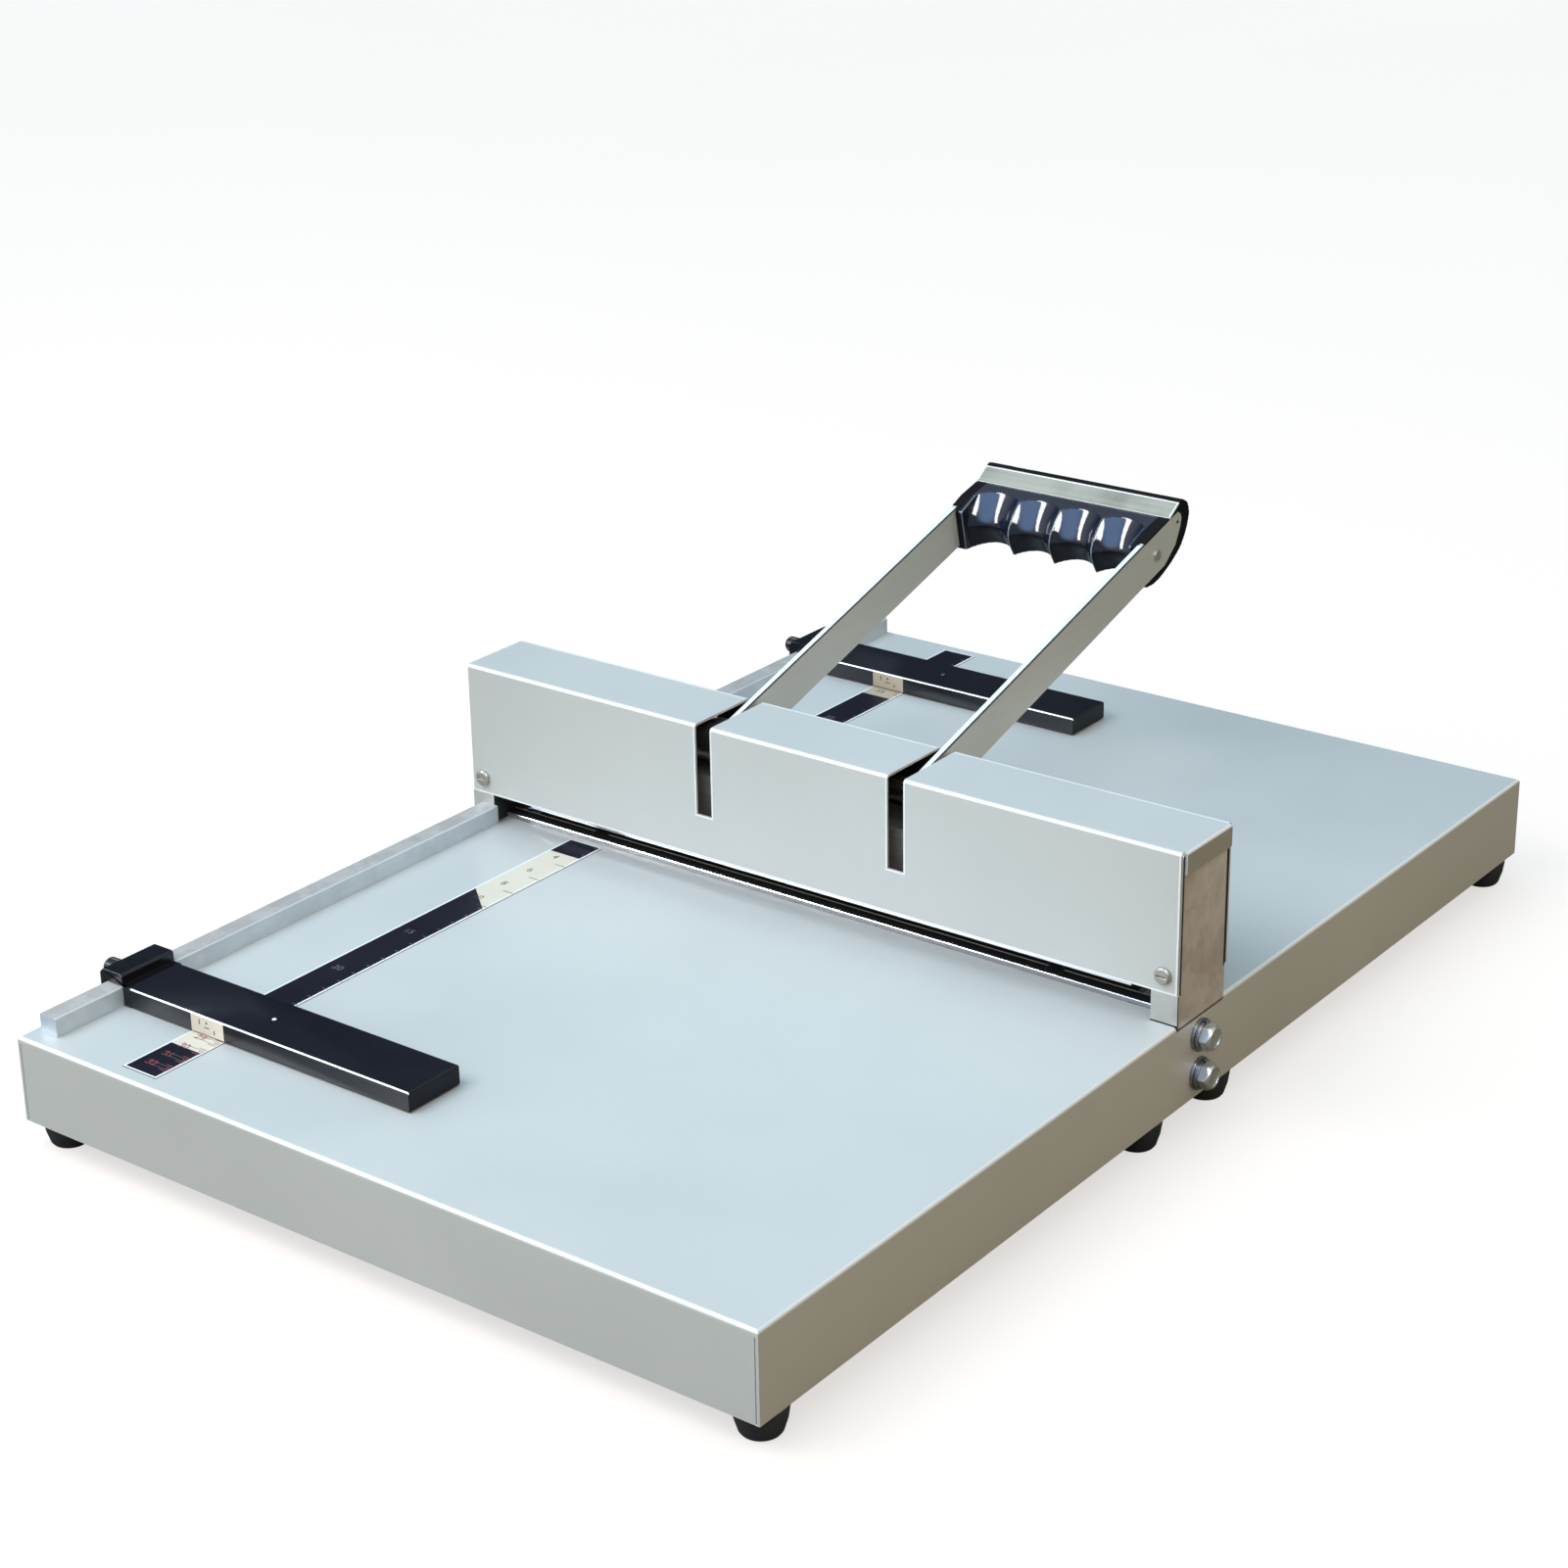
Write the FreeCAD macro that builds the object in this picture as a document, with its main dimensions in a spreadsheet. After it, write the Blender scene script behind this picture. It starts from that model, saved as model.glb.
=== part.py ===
import FreeCAD, Part
import math
import os
import re
import Sketcher

# Desktop paper creasing machine, millimetres.
# Frame: origin on the floor under the middle of the table, +X right, +Y to the rear, +Z up.
# The paper lies on the table, goes under the head at y = 0 and is creased by a blade that
# the handle's two cams press down onto a grooved die.

V = FreeCAD.Vector
doc = FreeCAD.newDocument("creasing_machine")
dim = doc.addObject("Spreadsheet::Sheet", "dim")

SIZES = [
    # folded tray that is the table
    ("table_width", 430.0, "outer width of the tray"),
    ("table_length", 676.0, "outer length of the tray"),
    ("skirt_height", 43.4, "height of the tray's four skirts"),
    ("tray_sheet", 1.5, "tray sheet thickness"),
    ("tray_bend", 2.0, "outer radius of the tray's folds"),
    ("return_flange", 26.0, "inward flange at the bottom of the skirts"),
    ("seam_gap", 0.5, "open seam at the tray's vertical corners"),
    # rubber feet
    ("foot_height", 14.0, "height of a rubber foot"),
    ("foot_top_radius", 12.0, "radius where the foot meets the flange"),
    ("foot_base_radius", 9.5, "radius of the foot's base"),
    ("foot_bulge", 0.5, "how far the foot's side bulges"),
    ("foot_recess_radius", 5.6, "recess for the screw head"),
    ("foot_recess_depth", 5.0, "depth of that recess"),
    ("foot_side_inset", 11.5, "foot centre from the tray's side"),
    ("foot_end_inset", 15.5, "outer foot centre from the tray's end"),
    ("middle_foot_spacing", 62.0, "distance between the two middle feet"),
    ("middle_foot_shift", 6.0, "how far the middle feet stand in front of the head's middle"),
    ("foot_screw_radius", 2.5, "screw that holds a foot"),
    ("foot_screw_head_radius", 4.7, "its head"),
    ("foot_screw_head_height", 2.7, "its head height"),
    ("foot_nut_flats", 8.0, "nut across flats"),
    ("foot_nut_height", 4.0, "nut height"),
    ("screw_clearance", 0.1, "radial clearance of a screw in its hole"),
    # bed beam and die
    ("bed_depth", 30.0, "bed beam, front to back"),
    ("bed_lift", 4.0, "bed beam's underside above the skirt's lower edge"),
    ("die_end_gap", 16.7, "ends of die and blade beam to the side frame"),
    ("die_depth", 27.0, "creasing die, front to back"),
    ("die_height", 3.0, "creasing die above the table"),
    ("die_edge_radius", 1.2, "rounded long edges of the die"),
    ("die_groove_width", 1.6, "groove in the die"),
    ("die_groove_depth", 1.2, "depth of that groove"),
    ("die_screw_x", 140.0, "die screws from the middle"),
    ("die_screw_y", 8.0, "die screws from the groove"),
    ("die_screw_radius", 2.5, "die screw"),
    ("die_screw_head_radius", 4.6, "its countersunk head"),
    ("die_screw_depth", 14.0, "how deep it reaches below the die's top"),
    # side frames
    ("frame_thickness", 14.3, "side frame, side to side"),
    ("frame_back_gap", 2.0, "open gap between side frame and the cover's rear sheet"),
    ("bolt_radius", 4.0, "frame bolt"),
    ("bolt_length", 32.0, "frame bolt under its head"),
    ("bolt_flats", 13.0, "frame bolt head across flats"),
    ("bolt_head_height", 5.3, "frame bolt head"),
    ("bolt_forward", 2.0, "frame bolts in front of the middle"),
    ("bolt_drop", 11.8, "upper frame bolt below the table"),
    ("bolt_pitch", 20.0, "distance between the two frame bolts"),
    ("washer_radius", 8.2, "flat washer"),
    ("washer_thickness", 1.6, "flat washer"),
    ("spring_washer_radius", 7.3, "spring washer"),
    ("spring_washer_thickness", 2.0, "spring washer"),
    ("spring_washer_split", 1.2, "cut in the spring washer"),
    # head cover
    ("cover_lift", 15.4, "cover's lower edge above the table"),
    ("cover_height", 70.9, "cover height"),
    ("cover_depth", 45.2, "cover, front to back"),
    ("cover_sheet", 1.2, "cover sheet thickness"),
    ("cover_bend", 2.0, "outer radius of the cover's folds"),
    ("cover_face_inset", 0.7, "front sheet's end inside the frame's outer face"),
    ("lip_drop", 11.0, "folded end lip of the cover"),
    ("lip_relief", 0.6, "corner relief beside the lip"),
    ("slot_centre", 58.3, "handle slot from the middle"),
    ("slot_width", 9.5, "handle slot"),
    ("slot_sill", 22.6, "front slot's end above the cover's lower edge"),
    ("cover_screw_inset", 8.0, "cover screw from the frame's outer face"),
    ("cover_screw_rise", 8.8, "cover screw above the cover's lower edge"),
    ("cover_screw_radius", 2.0, "cover screw"),
    ("cover_screw_length", 10.0, "cover screw under its head"),
    ("cover_screw_head_radius", 4.35, "cover screw head"),
    ("cover_screw_head_height", 2.4, "cover screw head"),
    ("cover_screw_slot", 1.1, "driver slot"),
    ("spacer_radius", 4.5, "spacer behind the rear cover screws"),
    # shaft and bushes
    ("shaft_drop", 16.1, "shaft axis below the cover's top"),
    ("shaft_radius", 6.0, "cam shaft"),
    ("shaft_fit", 0.05, "radial fit of what is clamped on the shaft"),
    ("shaft_end_gap", 0.3, "shaft end to the bottom of its bore"),
    ("bush_wall", 3.0, "shaft bush wall"),
    ("bush_length", 8.0, "shaft bush in the frame"),
    ("bush_flange_width", 2.5, "bush flange beyond the bush"),
    ("bush_flange_thickness", 1.5, "bush flange"),
    ("running_clearance", 0.08, "radial running clearance of the shaft"),
    # handle
    ("handle_rest_angle", 16.6, "handle above the horizontal at rest, degrees"),
    ("handle_swing", 163.4, "handle travel to the front, degrees"),
    ("rest_gap", 0.3, "arm above the rear slot's end at rest"),
    ("arm_thickness", 4.0, "flat arm"),
    ("arm_width", 21.8, "flat arm"),
    ("hub_radius", 11.4, "hub beside each arm"),
    ("hub_length", 13.0, "hub along the shaft"),
    ("set_screw_radius", 2.4, "set screw"),
    ("grip_reach", 256.5, "grip's nose from the shaft axis"),
    ("grip_depth", 49.5, "grip section along the arm"),
    ("grip_height", 30.8, "grip section across the arm"),
    ("grip_shell", 8.0, "moulding around the end of an arm"),
    ("grip_overhang", 0.2, "moulding beyond an arm's outer face"),
    ("finger_pitch", 26.0, "distance between finger grooves"),
    ("groove_depth_top", 2.5, "finger groove's depth where it runs out on top"),
    ("groove_depth_front", 6.8, "finger groove's depth at the grip's front"),
    ("groove_depth_foot", 8.3, "finger groove's depth at the grip's underside"),
    ("strip_width", 11.3, "aluminium strip on the grip"),
    ("strip_sunk", 0.8, "aluminium strip let into the grip"),
    ("strip_proud", 0.4, "aluminium strip above the grip"),
    ("strip_angle", 17.0, "strip's tilt against the arm, degrees"),
    ("grip_rivet_radius", 2.0, "rivet through the arm into the grip"),
    ("grip_rivet_head_radius", 3.2, "its head"),
    ("grip_rivet_head_height", 1.2, "its head"),
    ("grip_rivet_length", 11.0, "rivet under its head"),
    ("grip_pin_hole_radius", 1.1, "small hole near the arm's end"),
    # cams
    ("cam_inset", 69.7, "cam's middle from the side frame"),
    ("cam_width", 14.0, "cam along the shaft"),
    ("cam_base", 8.4, "cam's height at rest"),
    ("blade_travel", 4.7, "how far the cams press the blade down, just into the groove"),
    ("cam_gap", 0.25, "cam to wear pad"),
    ("cam_boss_radius", 10.0, "cam's clamping boss"),
    ("cam_boss_length", 10.0, "cam's clamping boss"),
    # blade carrier
    ("throat_height", 4.3, "blade tip above the die at rest"),
    ("blade_nose", 1.0, "blade below the beam"),
    ("beam_height", 46.7, "blade beam"),
    ("beam_depth", 24.0, "blade beam, front to back"),
    ("tongue_height", 32.0, "end tongue"),
    ("tongue_depth", 16.0, "end tongue, front to back"),
    ("tongue_lift", 10.3, "end tongue's underside above the beam's"),
    ("guide_depth", 3.2, "guide groove in the side frame"),
    ("slide_clearance", 0.1, "tongue in its groove, each side"),
    ("tongue_end_gap", 0.2, "tongue's end to the bottom of the groove"),
    ("guide_overrun", 2.0, "groove beyond the tongue's travel"),
    ("blade_thickness", 2.4, "creasing blade"),
    ("blade_tip_width", 0.9, "creasing blade's tip"),
    ("blade_taper", 2.4, "height of the tapered tip"),
    ("blade_height", 19.3, "creasing blade"),
    ("blade_end_inset", 2.0, "blade's end inside the beam's end"),
    ("blade_screw_x", 50.0, "inner blade screws from the middle"),
    ("blade_screw_pitch", 100.0, "to the outer blade screws"),
    ("blade_screw_rise", 13.0, "blade screws above the beam's underside"),
    ("blade_screw_radius", 2.5, "blade screw"),
    ("blade_screw_head_radius", 4.2, "blade screw head"),
    ("blade_screw_head_height", 4.0, "blade screw head"),
    ("blade_screw_length", 17.0, "blade screw under its head"),
    ("pad_length", 12.0, "wear pad, side to side"),
    ("pad_depth", 14.0, "wear pad, front to back"),
    ("pad_seat", 1.0, "wear pad sunk into the beam"),
    # return springs
    ("spring_offset", 7.4, "spring axis from the frame's inner face"),
    ("spring_wire", 1.4, "spring wire"),
    ("spring_radius", 4.2, "spring's mean radius"),
    ("spring_turns", 5.0, "spring turns"),
    ("spring_end_gap", 0.05, "spring to its seats"),
    ("guide_pin_radius", 2.7, "guide pin inside the spring"),
    ("guide_pin_height", 12.6, "guide pin above the table"),
    ("guide_stud_radius", 2.0, "guide pin's stud"),
    ("guide_stud_length", 6.0, "guide pin's stud below the table's top"),
    # side-lay rails and rulers
    ("rail_width", 11.0, "side-lay rail"),
    ("rail_height", 10.0, "side-lay rail"),
    ("rail_inset", 6.0, "rail from the tray's side"),
    ("rail_edge", 0.6, "broken edge of the rail"),
    ("rail_front_margin", 9.5, "front rail's end to the tray's front"),
    ("rail_rear_margin", 4.0, "rear rail's end to the tray's rear"),
    ("rail_screw_inset", 40.0, "rail screw from the rail's end"),
    ("rail_screw_radius", 2.0, "rail screw"),
    ("rail_screw_head_radius", 3.6, "rail screw head"),
    ("rail_screw_head_height", 2.4, "rail screw head"),
    ("rail_screw_length", 7.0, "rail screw under its head"),
    ("ruler_inset", 62.5, "ruler from the tray's left side"),
    ("ruler_width", 21.5, "ruler strip"),
    ("ruler_thickness", 0.4, "ruler strip"),
    ("ruler_start", 17.3, "ruler's inner end from the blade"),
    ("ruler_margin", 8.2, "ruler's outer end to the tray's end"),
    # paper stops
    ("stop_margin", 67.0, "stop's middle from the table's end as drawn"),
    ("stop_width", 33.0, "stop, along the rail"),
    ("stop_height", 10.3, "stop bar's top above the table"),
    ("stop_gap", 0.3, "clearance under and around the stops"),
    ("stop_bar_length", 178.0, "stop bar from the block"),
    ("stop_edge", 0.6, "broken edges of the stop"),
    ("block_width", 20.0, "clamp block, side to side"),
    ("block_inset", 2.0, "clamp block from the tray's side"),
    ("block_height", 16.0, "clamp block's top above the table"),
    ("block_corner", 2.2, "bevel on the clamp block's outer corner"),
    ("shoulder_run", 6.0, "sloped shoulder towards the bar"),
    ("rivet_offset", 79.0, "rivet from the block"),
    ("rivet_radius", 2.0, "rivet in the stop bar"),
    ("rivet_dome", 0.6, "rivet's dome"),
    ("rivet_length", 5.0, "rivet below the bar's top"),
    ("knob_radius", 4.6, "thumb knob"),
    ("knob_length", 12.7, "thumb knob"),
    ("knob_rim", 1.6, "plain rim of the knob"),
    ("knob_rise", 7.0, "knob's axis above the table"),
    ("stud_radius", 2.0, "knob's threaded stud"),
]

for number, (name, value, note) in enumerate(SIZES, 1):
    dim.set("A%d" % number, name)
    dim.set("B%d" % number, str(value))
    dim.set("C%d" % number, note)
    dim.setAlias("B%d" % number, name)
doc.recompute()

# Places that follow from the sizes above.
DERIVED = {
    "half_width": "table_width / 2",
    "half_length": "table_length / 2",
    "tray_z": "foot_height",
    "table_z": "foot_height + skirt_height",
    "sheet_z": "table_z - tray_sheet",
    "cover_z": "table_z + cover_lift",
    "cover_top_z": "cover_z + cover_height",
    "cover_under_z": "cover_top_z - cover_sheet",
    "cover_y": "cover_depth / 2",
    "axis_z": "cover_top_z - shaft_drop",
    "frame_x": "half_width - frame_thickness",
    "frame_front_y": "-cover_y",
    "frame_rear_y": "cover_y - cover_sheet - frame_back_gap",
    "frame_step_z": "table_z - tray_bend",
    "bed_z": "tray_z + bed_lift",
    "die_z": "table_z + die_height",
    "die_length": "2 * (frame_x - die_end_gap)",
    "tip_z": "die_z + throat_height",
    "beam_z": "tip_z + blade_nose",
    "beam_top_z": "beam_z + beam_height",
    "tongue_z": "beam_z + tongue_lift",
    "cam_centre": "frame_x - cam_inset",
    "pad_top_z": "axis_z - cam_base - cam_gap",
    "bolt_y": "-bolt_forward",
    "bolt_high_z": "table_z - bolt_drop",
    "bolt_low_z": "bolt_high_z - bolt_pitch",
    "screw_z": "cover_z + cover_screw_rise",
    "screw_x": "half_width - cover_screw_inset",
    "spring_x": "frame_x - spring_offset",
    "foot_x": "half_width - foot_side_inset",
    "foot_outer_y": "half_length - foot_end_inset",
    "foot_inner_front_y": "-(middle_foot_spacing / 2 + middle_foot_shift)",
    "foot_inner_rear_y": "middle_foot_spacing / 2 - middle_foot_shift",
    "rail_x": "half_width - rail_inset",
    "ruler_x": "half_width - ruler_inset",
    "stop_rest": "half_length - stop_margin",
    "stop_z": "table_z + ruler_thickness + stop_gap",
    "stop_top_z": "table_z + stop_height",
    "block_x": "half_width - block_inset",
    "block_in_x": "block_x - block_width",
    "knob_z": "table_z + knob_rise",
    "bush_radius": "shaft_radius + running_clearance + bush_wall",
    "bush_flange_radius": "bush_radius + bush_flange_width",
    "arm_x": "slot_centre - arm_thickness / 2",
    "arm_out_x": "slot_centre + arm_thickness / 2",
    "slot_rear_z": "axis_z + (cover_y - cover_sheet) * tan(handle_rest_angle)"
                   " - arm_width / 2 / cos(handle_rest_angle) - rest_gap",
}
NAMES = set(entry[0] for entry in SIZES)


def spell(text):
    """Write an expression of named sizes and places as one of spreadsheet cells."""
    def word(found):
        name = found.group(0)
        if name in DERIVED:
            return "(" + spell(DERIVED[name]) + ")"
        return "dim." + name if name in NAMES else name
    return re.sub(r"[a-z]\w*", word, str(text))


def size(text):
    """The value of an expression of named sizes and places."""
    return float(dim.evalExpression(spell(text)))


def bind(thing, prop, text):
    thing.setExpression(prop, spell(text))


def place(thing, x="0", y="0", z="0"):
    for letter, text in (("x", x), ("y", y), ("z", z)):
        if str(text) != "0":
            bind(thing, "Placement.Base." + letter, text)
    return thing


def span(sign, low, high):
    """The two ends of a stretch along X on the right (1) or on the left (-1)."""
    return (low, high) if sign > 0 else ("-(%s)" % high, "-(%s)" % low)


def box(label, x, y, z):
    thing = doc.addObject("Part::Box", label)
    for prop, ends in (("Length", x), ("Width", y), ("Height", z)):
        bind(thing, prop, "(%s) - (%s)" % (ends[1], ends[0]))
    return place(thing, x[0], y[0], z[0])


TURNS = {"x": (V(0, 1, 0), 90), "y": (V(1, 0, 0), -90), "z": (V(0, 0, 1), 0)}


def rod(label, along, radius, ends, at):
    """A cylinder along x, y or z; at gives the two other coordinates in order."""
    thing = doc.addObject("Part::Cylinder", label)
    axis, angle = TURNS[along]
    thing.Placement = FreeCAD.Placement(V(0, 0, 0), FreeCAD.Rotation(axis, angle))
    bind(thing, "Radius", radius)
    bind(thing, "Height", "(%s) - (%s)" % (ends[1], ends[0]))
    spot = list(at)
    spot.insert("xyz".index(along), ends[0])
    return place(thing, *spot)


def cone(label, along, radii, ends, at):
    """A cone from ends[0] with radii[0] to ends[1] with radii[1]."""
    thing = doc.addObject("Part::Cone", label)
    axis, angle = TURNS[along]
    thing.Placement = FreeCAD.Placement(V(0, 0, 0), FreeCAD.Rotation(axis, angle))
    bind(thing, "Radius1", radii[0])
    bind(thing, "Radius2", radii[1])
    bind(thing, "Height", "(%s) - (%s)" % (ends[1], ends[0]))
    spot = list(at)
    spot.insert("xyz".index(along), ends[0])
    return place(thing, *spot)


def hexagon(label, along, flats, ends, at):
    thing = doc.addObject("Part::Prism", label)
    axis, angle = TURNS[along]
    thing.Placement = FreeCAD.Placement(V(0, 0, 0), FreeCAD.Rotation(axis, angle))
    thing.Polygon = 6
    bind(thing, "Circumradius", "(%s) / sqrt(3)" % flats)
    bind(thing, "Height", "(%s) - (%s)" % (ends[1], ends[0]))
    spot = list(at)
    spot.insert("xyz".index(along), ends[0])
    return place(thing, *spot)


def fuse(label, pieces):
    thing = doc.addObject("Part::MultiFuse", label)
    thing.Shapes = pieces
    return thing


def cut(label, base, tools):
    thing = doc.addObject("Part::Cut", label)
    thing.Base = base
    thing.Tool = tools[0] if len(tools) == 1 else fuse(label + "_tools", tools)
    return thing


def group(label, pieces):
    """Identical pieces that share one file, each a solid of its own."""
    thing = doc.addObject("Part::Compound", label)
    thing.Links = pieces
    return thing


def body(label):
    return doc.addObject("PartDesign::Body", label)


def sketch(home, plane, name, lift="0"):
    thing = home.newObject("Sketcher::SketchObject", home.Label + "_" + name)
    sides = dict((f.Role, f) for f in home.Origin.OriginFeatures)
    thing.AttachmentSupport = (sides[plane + "_Plane"], [""])
    thing.MapMode = "FlatFace"
    if lift != "0":
        bind(thing, "AttachmentOffset.Base.z", lift)
    return thing


def pin_point(thing, line, end, x, y):
    for kind, text in (("DistanceX", x), ("DistanceY", y)):
        index = thing.addConstraint(Sketcher.Constraint(kind, -1, 1, line, end, size(text)))
        bind(thing, "Constraints[%d]" % index, text)


def outline(thing, corners):
    """A closed run of lines whose corners are expressions."""
    spots = [V(size(x), size(y), 0) for x, y in corners]
    first = thing.GeometryCount
    count = len(corners)
    for i in range(count):
        thing.addGeometry(Part.LineSegment(spots[i], spots[(i + 1) % count]), False)
    for i in range(count):
        thing.addConstraint(Sketcher.Constraint("Coincident", first + i, 2, first + (i + 1) % count, 1))
    for i, (x, y) in enumerate(corners):
        pin_point(thing, first + i, 1, x, y)
    return thing


def rectangle(thing, x, y):
    return outline(thing, [(x[0], y[0]), (x[1], y[0]), (x[1], y[1]), (x[0], y[1])])


def circle(thing, x, y, radius):
    index = thing.addGeometry(Part.Circle(V(size(x), size(y), 0), V(0, 0, 1), size(radius)), False)
    pin_point(thing, index, 3, x, y)
    index = thing.addConstraint(Sketcher.Constraint("Radius", index, size(radius)))
    bind(thing, "Constraints[%d]" % index, radius)
    return thing


def pad(home, profile, length, both=False, reverse=False):
    thing = home.newObject("PartDesign::Pad", profile.Label + "_pad")
    thing.Profile = profile
    bind(thing, "Length", length)
    if both:
        thing.SideType = "Symmetric"
    thing.Reversed = reverse
    return thing


def pocket(home, profile, length, both=False, reverse=False):
    """A cut; it stops the build if it points away from the solid."""
    doc.recompute()
    before = home.Shape.Volume
    thing = home.newObject("PartDesign::Pocket", profile.Label + "_pocket")
    thing.Profile = profile
    bind(thing, "Length", length)
    if both:
        thing.SideType = "Symmetric"
    thing.Reversed = reverse
    doc.recompute()
    if home.Shape.Volume > before - 1e-6:
        raise RuntimeError("nothing cut by " + thing.Label)
    return thing


def revolve(home, profile, axis):
    thing = home.newObject("PartDesign::Revolution", profile.Label + "_turn")
    thing.Profile = profile
    thing.ReferenceAxis = (profile, [axis])
    thing.Angle = 360
    return thing


def soften(home, radius, chosen):
    """Round the edges of the body so far whose two ends and middle pass the test."""
    doc.recompute()
    last = home.Tip
    edges = ["Edge%d" % (i + 1) for i, edge in enumerate(last.Shape.Edges) if chosen(edge)]
    if not edges:
        raise RuntimeError("no edge to round on " + home.Label)
    thing = home.newObject("PartDesign::Fillet", home.Label + "_round%d" % len(home.Group))
    thing.Base = (last, edges)
    bind(thing, "Radius", radius)
    return thing


def bevel(home, width, chosen):
    doc.recompute()
    last = home.Tip
    edges = ["Edge%d" % (i + 1) for i, edge in enumerate(last.Shape.Edges) if chosen(edge)]
    if not edges:
        raise RuntimeError("no edge to bevel on " + home.Label)
    thing = home.newObject("PartDesign::Chamfer", home.Label + "_bevel%d" % len(home.Group))
    thing.Base = (last, edges)
    bind(thing, "Size", width)
    return thing


def along(letter):
    """A test for straight edges that run along one axis."""
    def test(edge):
        spread = edge.BoundBox
        lengths = {"x": spread.XLength, "y": spread.YLength, "z": spread.ZLength}
        others = [value for name, value in lengths.items() if name != letter]
        return lengths[letter] > 0.05 and max(others) < 1e-4
    return test


def near(value, text):
    return abs(value - size(text)) < 1e-3


NODES = []


def node(thing, label):
    thing.Label = label
    NODES.append(thing)
    return thing


# ---------------------------------------------------------------- the tray and its feet
FOOT_PLACES = []
for row, y in (("front", "-(foot_outer_y)"), ("mid_front", "foot_inner_front_y"),
               ("mid_rear", "foot_inner_rear_y"), ("rear", "foot_outer_y")):
    for side, x in (("left", "-(foot_x)"), ("right", "foot_x")):
        FOOT_PLACES.append((row + "_" + side, x, y))

tray_blank = body("tray_blank")
profile = rectangle(sketch(tray_blank, "XY", "plan", "tray_z"),
                    ("-(half_width)", "half_width"), ("-(half_length)", "half_length"))
pad(tray_blank, profile, "skirt_height")
soften(tray_blank, "tray_bend",
       lambda edge: near(edge.BoundBox.ZMin, "table_z") and near(edge.BoundBox.ZMax, "table_z"))

inner_x = ("-(half_width - tray_sheet)", "half_width - tray_sheet")
inner_y = ("-(half_length - tray_sheet)", "half_length - tray_sheet")
tray_cuts = [
    box("tray_hollow", inner_x, inner_y, ("tray_z + tray_sheet", "sheet_z")),
    box("tray_mouth", ("-(half_width - return_flange)", "half_width - return_flange"),
        ("-(half_length - return_flange)", "half_length - return_flange"), ("tray_z - 1", "sheet_z - 1")),
]
for sign in (1, -1):
    side = "right" if sign > 0 else "left"
    tray_cuts.append(box("tray_notch_" + side, span(sign, "frame_x", "half_width + 1"),
                         ("frame_front_y", "frame_rear_y"), ("frame_step_z", "table_z + 1")))
    for end, y in (("front", ("-(half_length + 1)", "-(half_length - tray_sheet - 0.1)")),
                   ("rear", ("half_length - tray_sheet - 0.1", "half_length + 1"))):
        tray_cuts.append(box("tray_seam_%s_%s" % (end, side),
                             span(sign, "half_width - tray_sheet - seam_gap", "half_width - tray_sheet"),
                             y, ("tray_z + tray_sheet", "sheet_z - tray_bend")))
    for level in ("high", "low"):
        tray_cuts.append(rod("tray_bolt_hole_%s_%s" % (level, side), "x", "bolt_radius + screw_clearance",
                             span(sign, "frame_x", "half_width + 1"), ("bolt_y", "bolt_%s_z" % level)))
    tray_cuts.append(rod("tray_guide_hole_" + side, "z", "guide_stud_radius + screw_clearance",
                         ("sheet_z - 1", "table_z + 1"), ("%d * spring_x" % sign, "0")))
for name, x, y in FOOT_PLACES:
    tray_cuts.append(rod("tray_foot_hole_" + name, "z", "foot_screw_radius + screw_clearance",
                         ("tray_z - 1", "tray_z + tray_sheet + 1"), (x, y)))
DIE_SCREWS = [(x, y) for x in ("-die_screw_x", "die_screw_x") for y in ("-die_screw_y", "die_screw_y")]
for i, (x, y) in enumerate(DIE_SCREWS):
    tray_cuts.append(rod("tray_die_hole_%d" % i, "z", "die_screw_radius + screw_clearance",
                         ("sheet_z - 1", "table_z + 1"), (x, y)))
RAIL_MIDDLE = "-(rail_x - rail_width / 2)"
RAIL_ENDS = {
    "front": ("-(half_length - rail_front_margin)", "frame_front_y"),
    "rear": ("frame_rear_y", "half_length - rail_rear_margin"),
}
RAIL_SCREWS = [(end, "(%s) + rail_screw_inset" % RAIL_ENDS[end][0]) for end in ("front", "rear")]
RAIL_SCREWS += [(end, "(%s) - rail_screw_inset" % RAIL_ENDS[end][1]) for end in ("front", "rear")]
for i, (end, y) in enumerate(RAIL_SCREWS):
    tray_cuts.append(rod("tray_rail_hole_%d" % i, "z", "rail_screw_radius + screw_clearance",
                         ("sheet_z - 1", "table_z + 1"), (RAIL_MIDDLE, y)))
node(cut("tray", tray_blank, tray_cuts), "base_tray")

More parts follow.
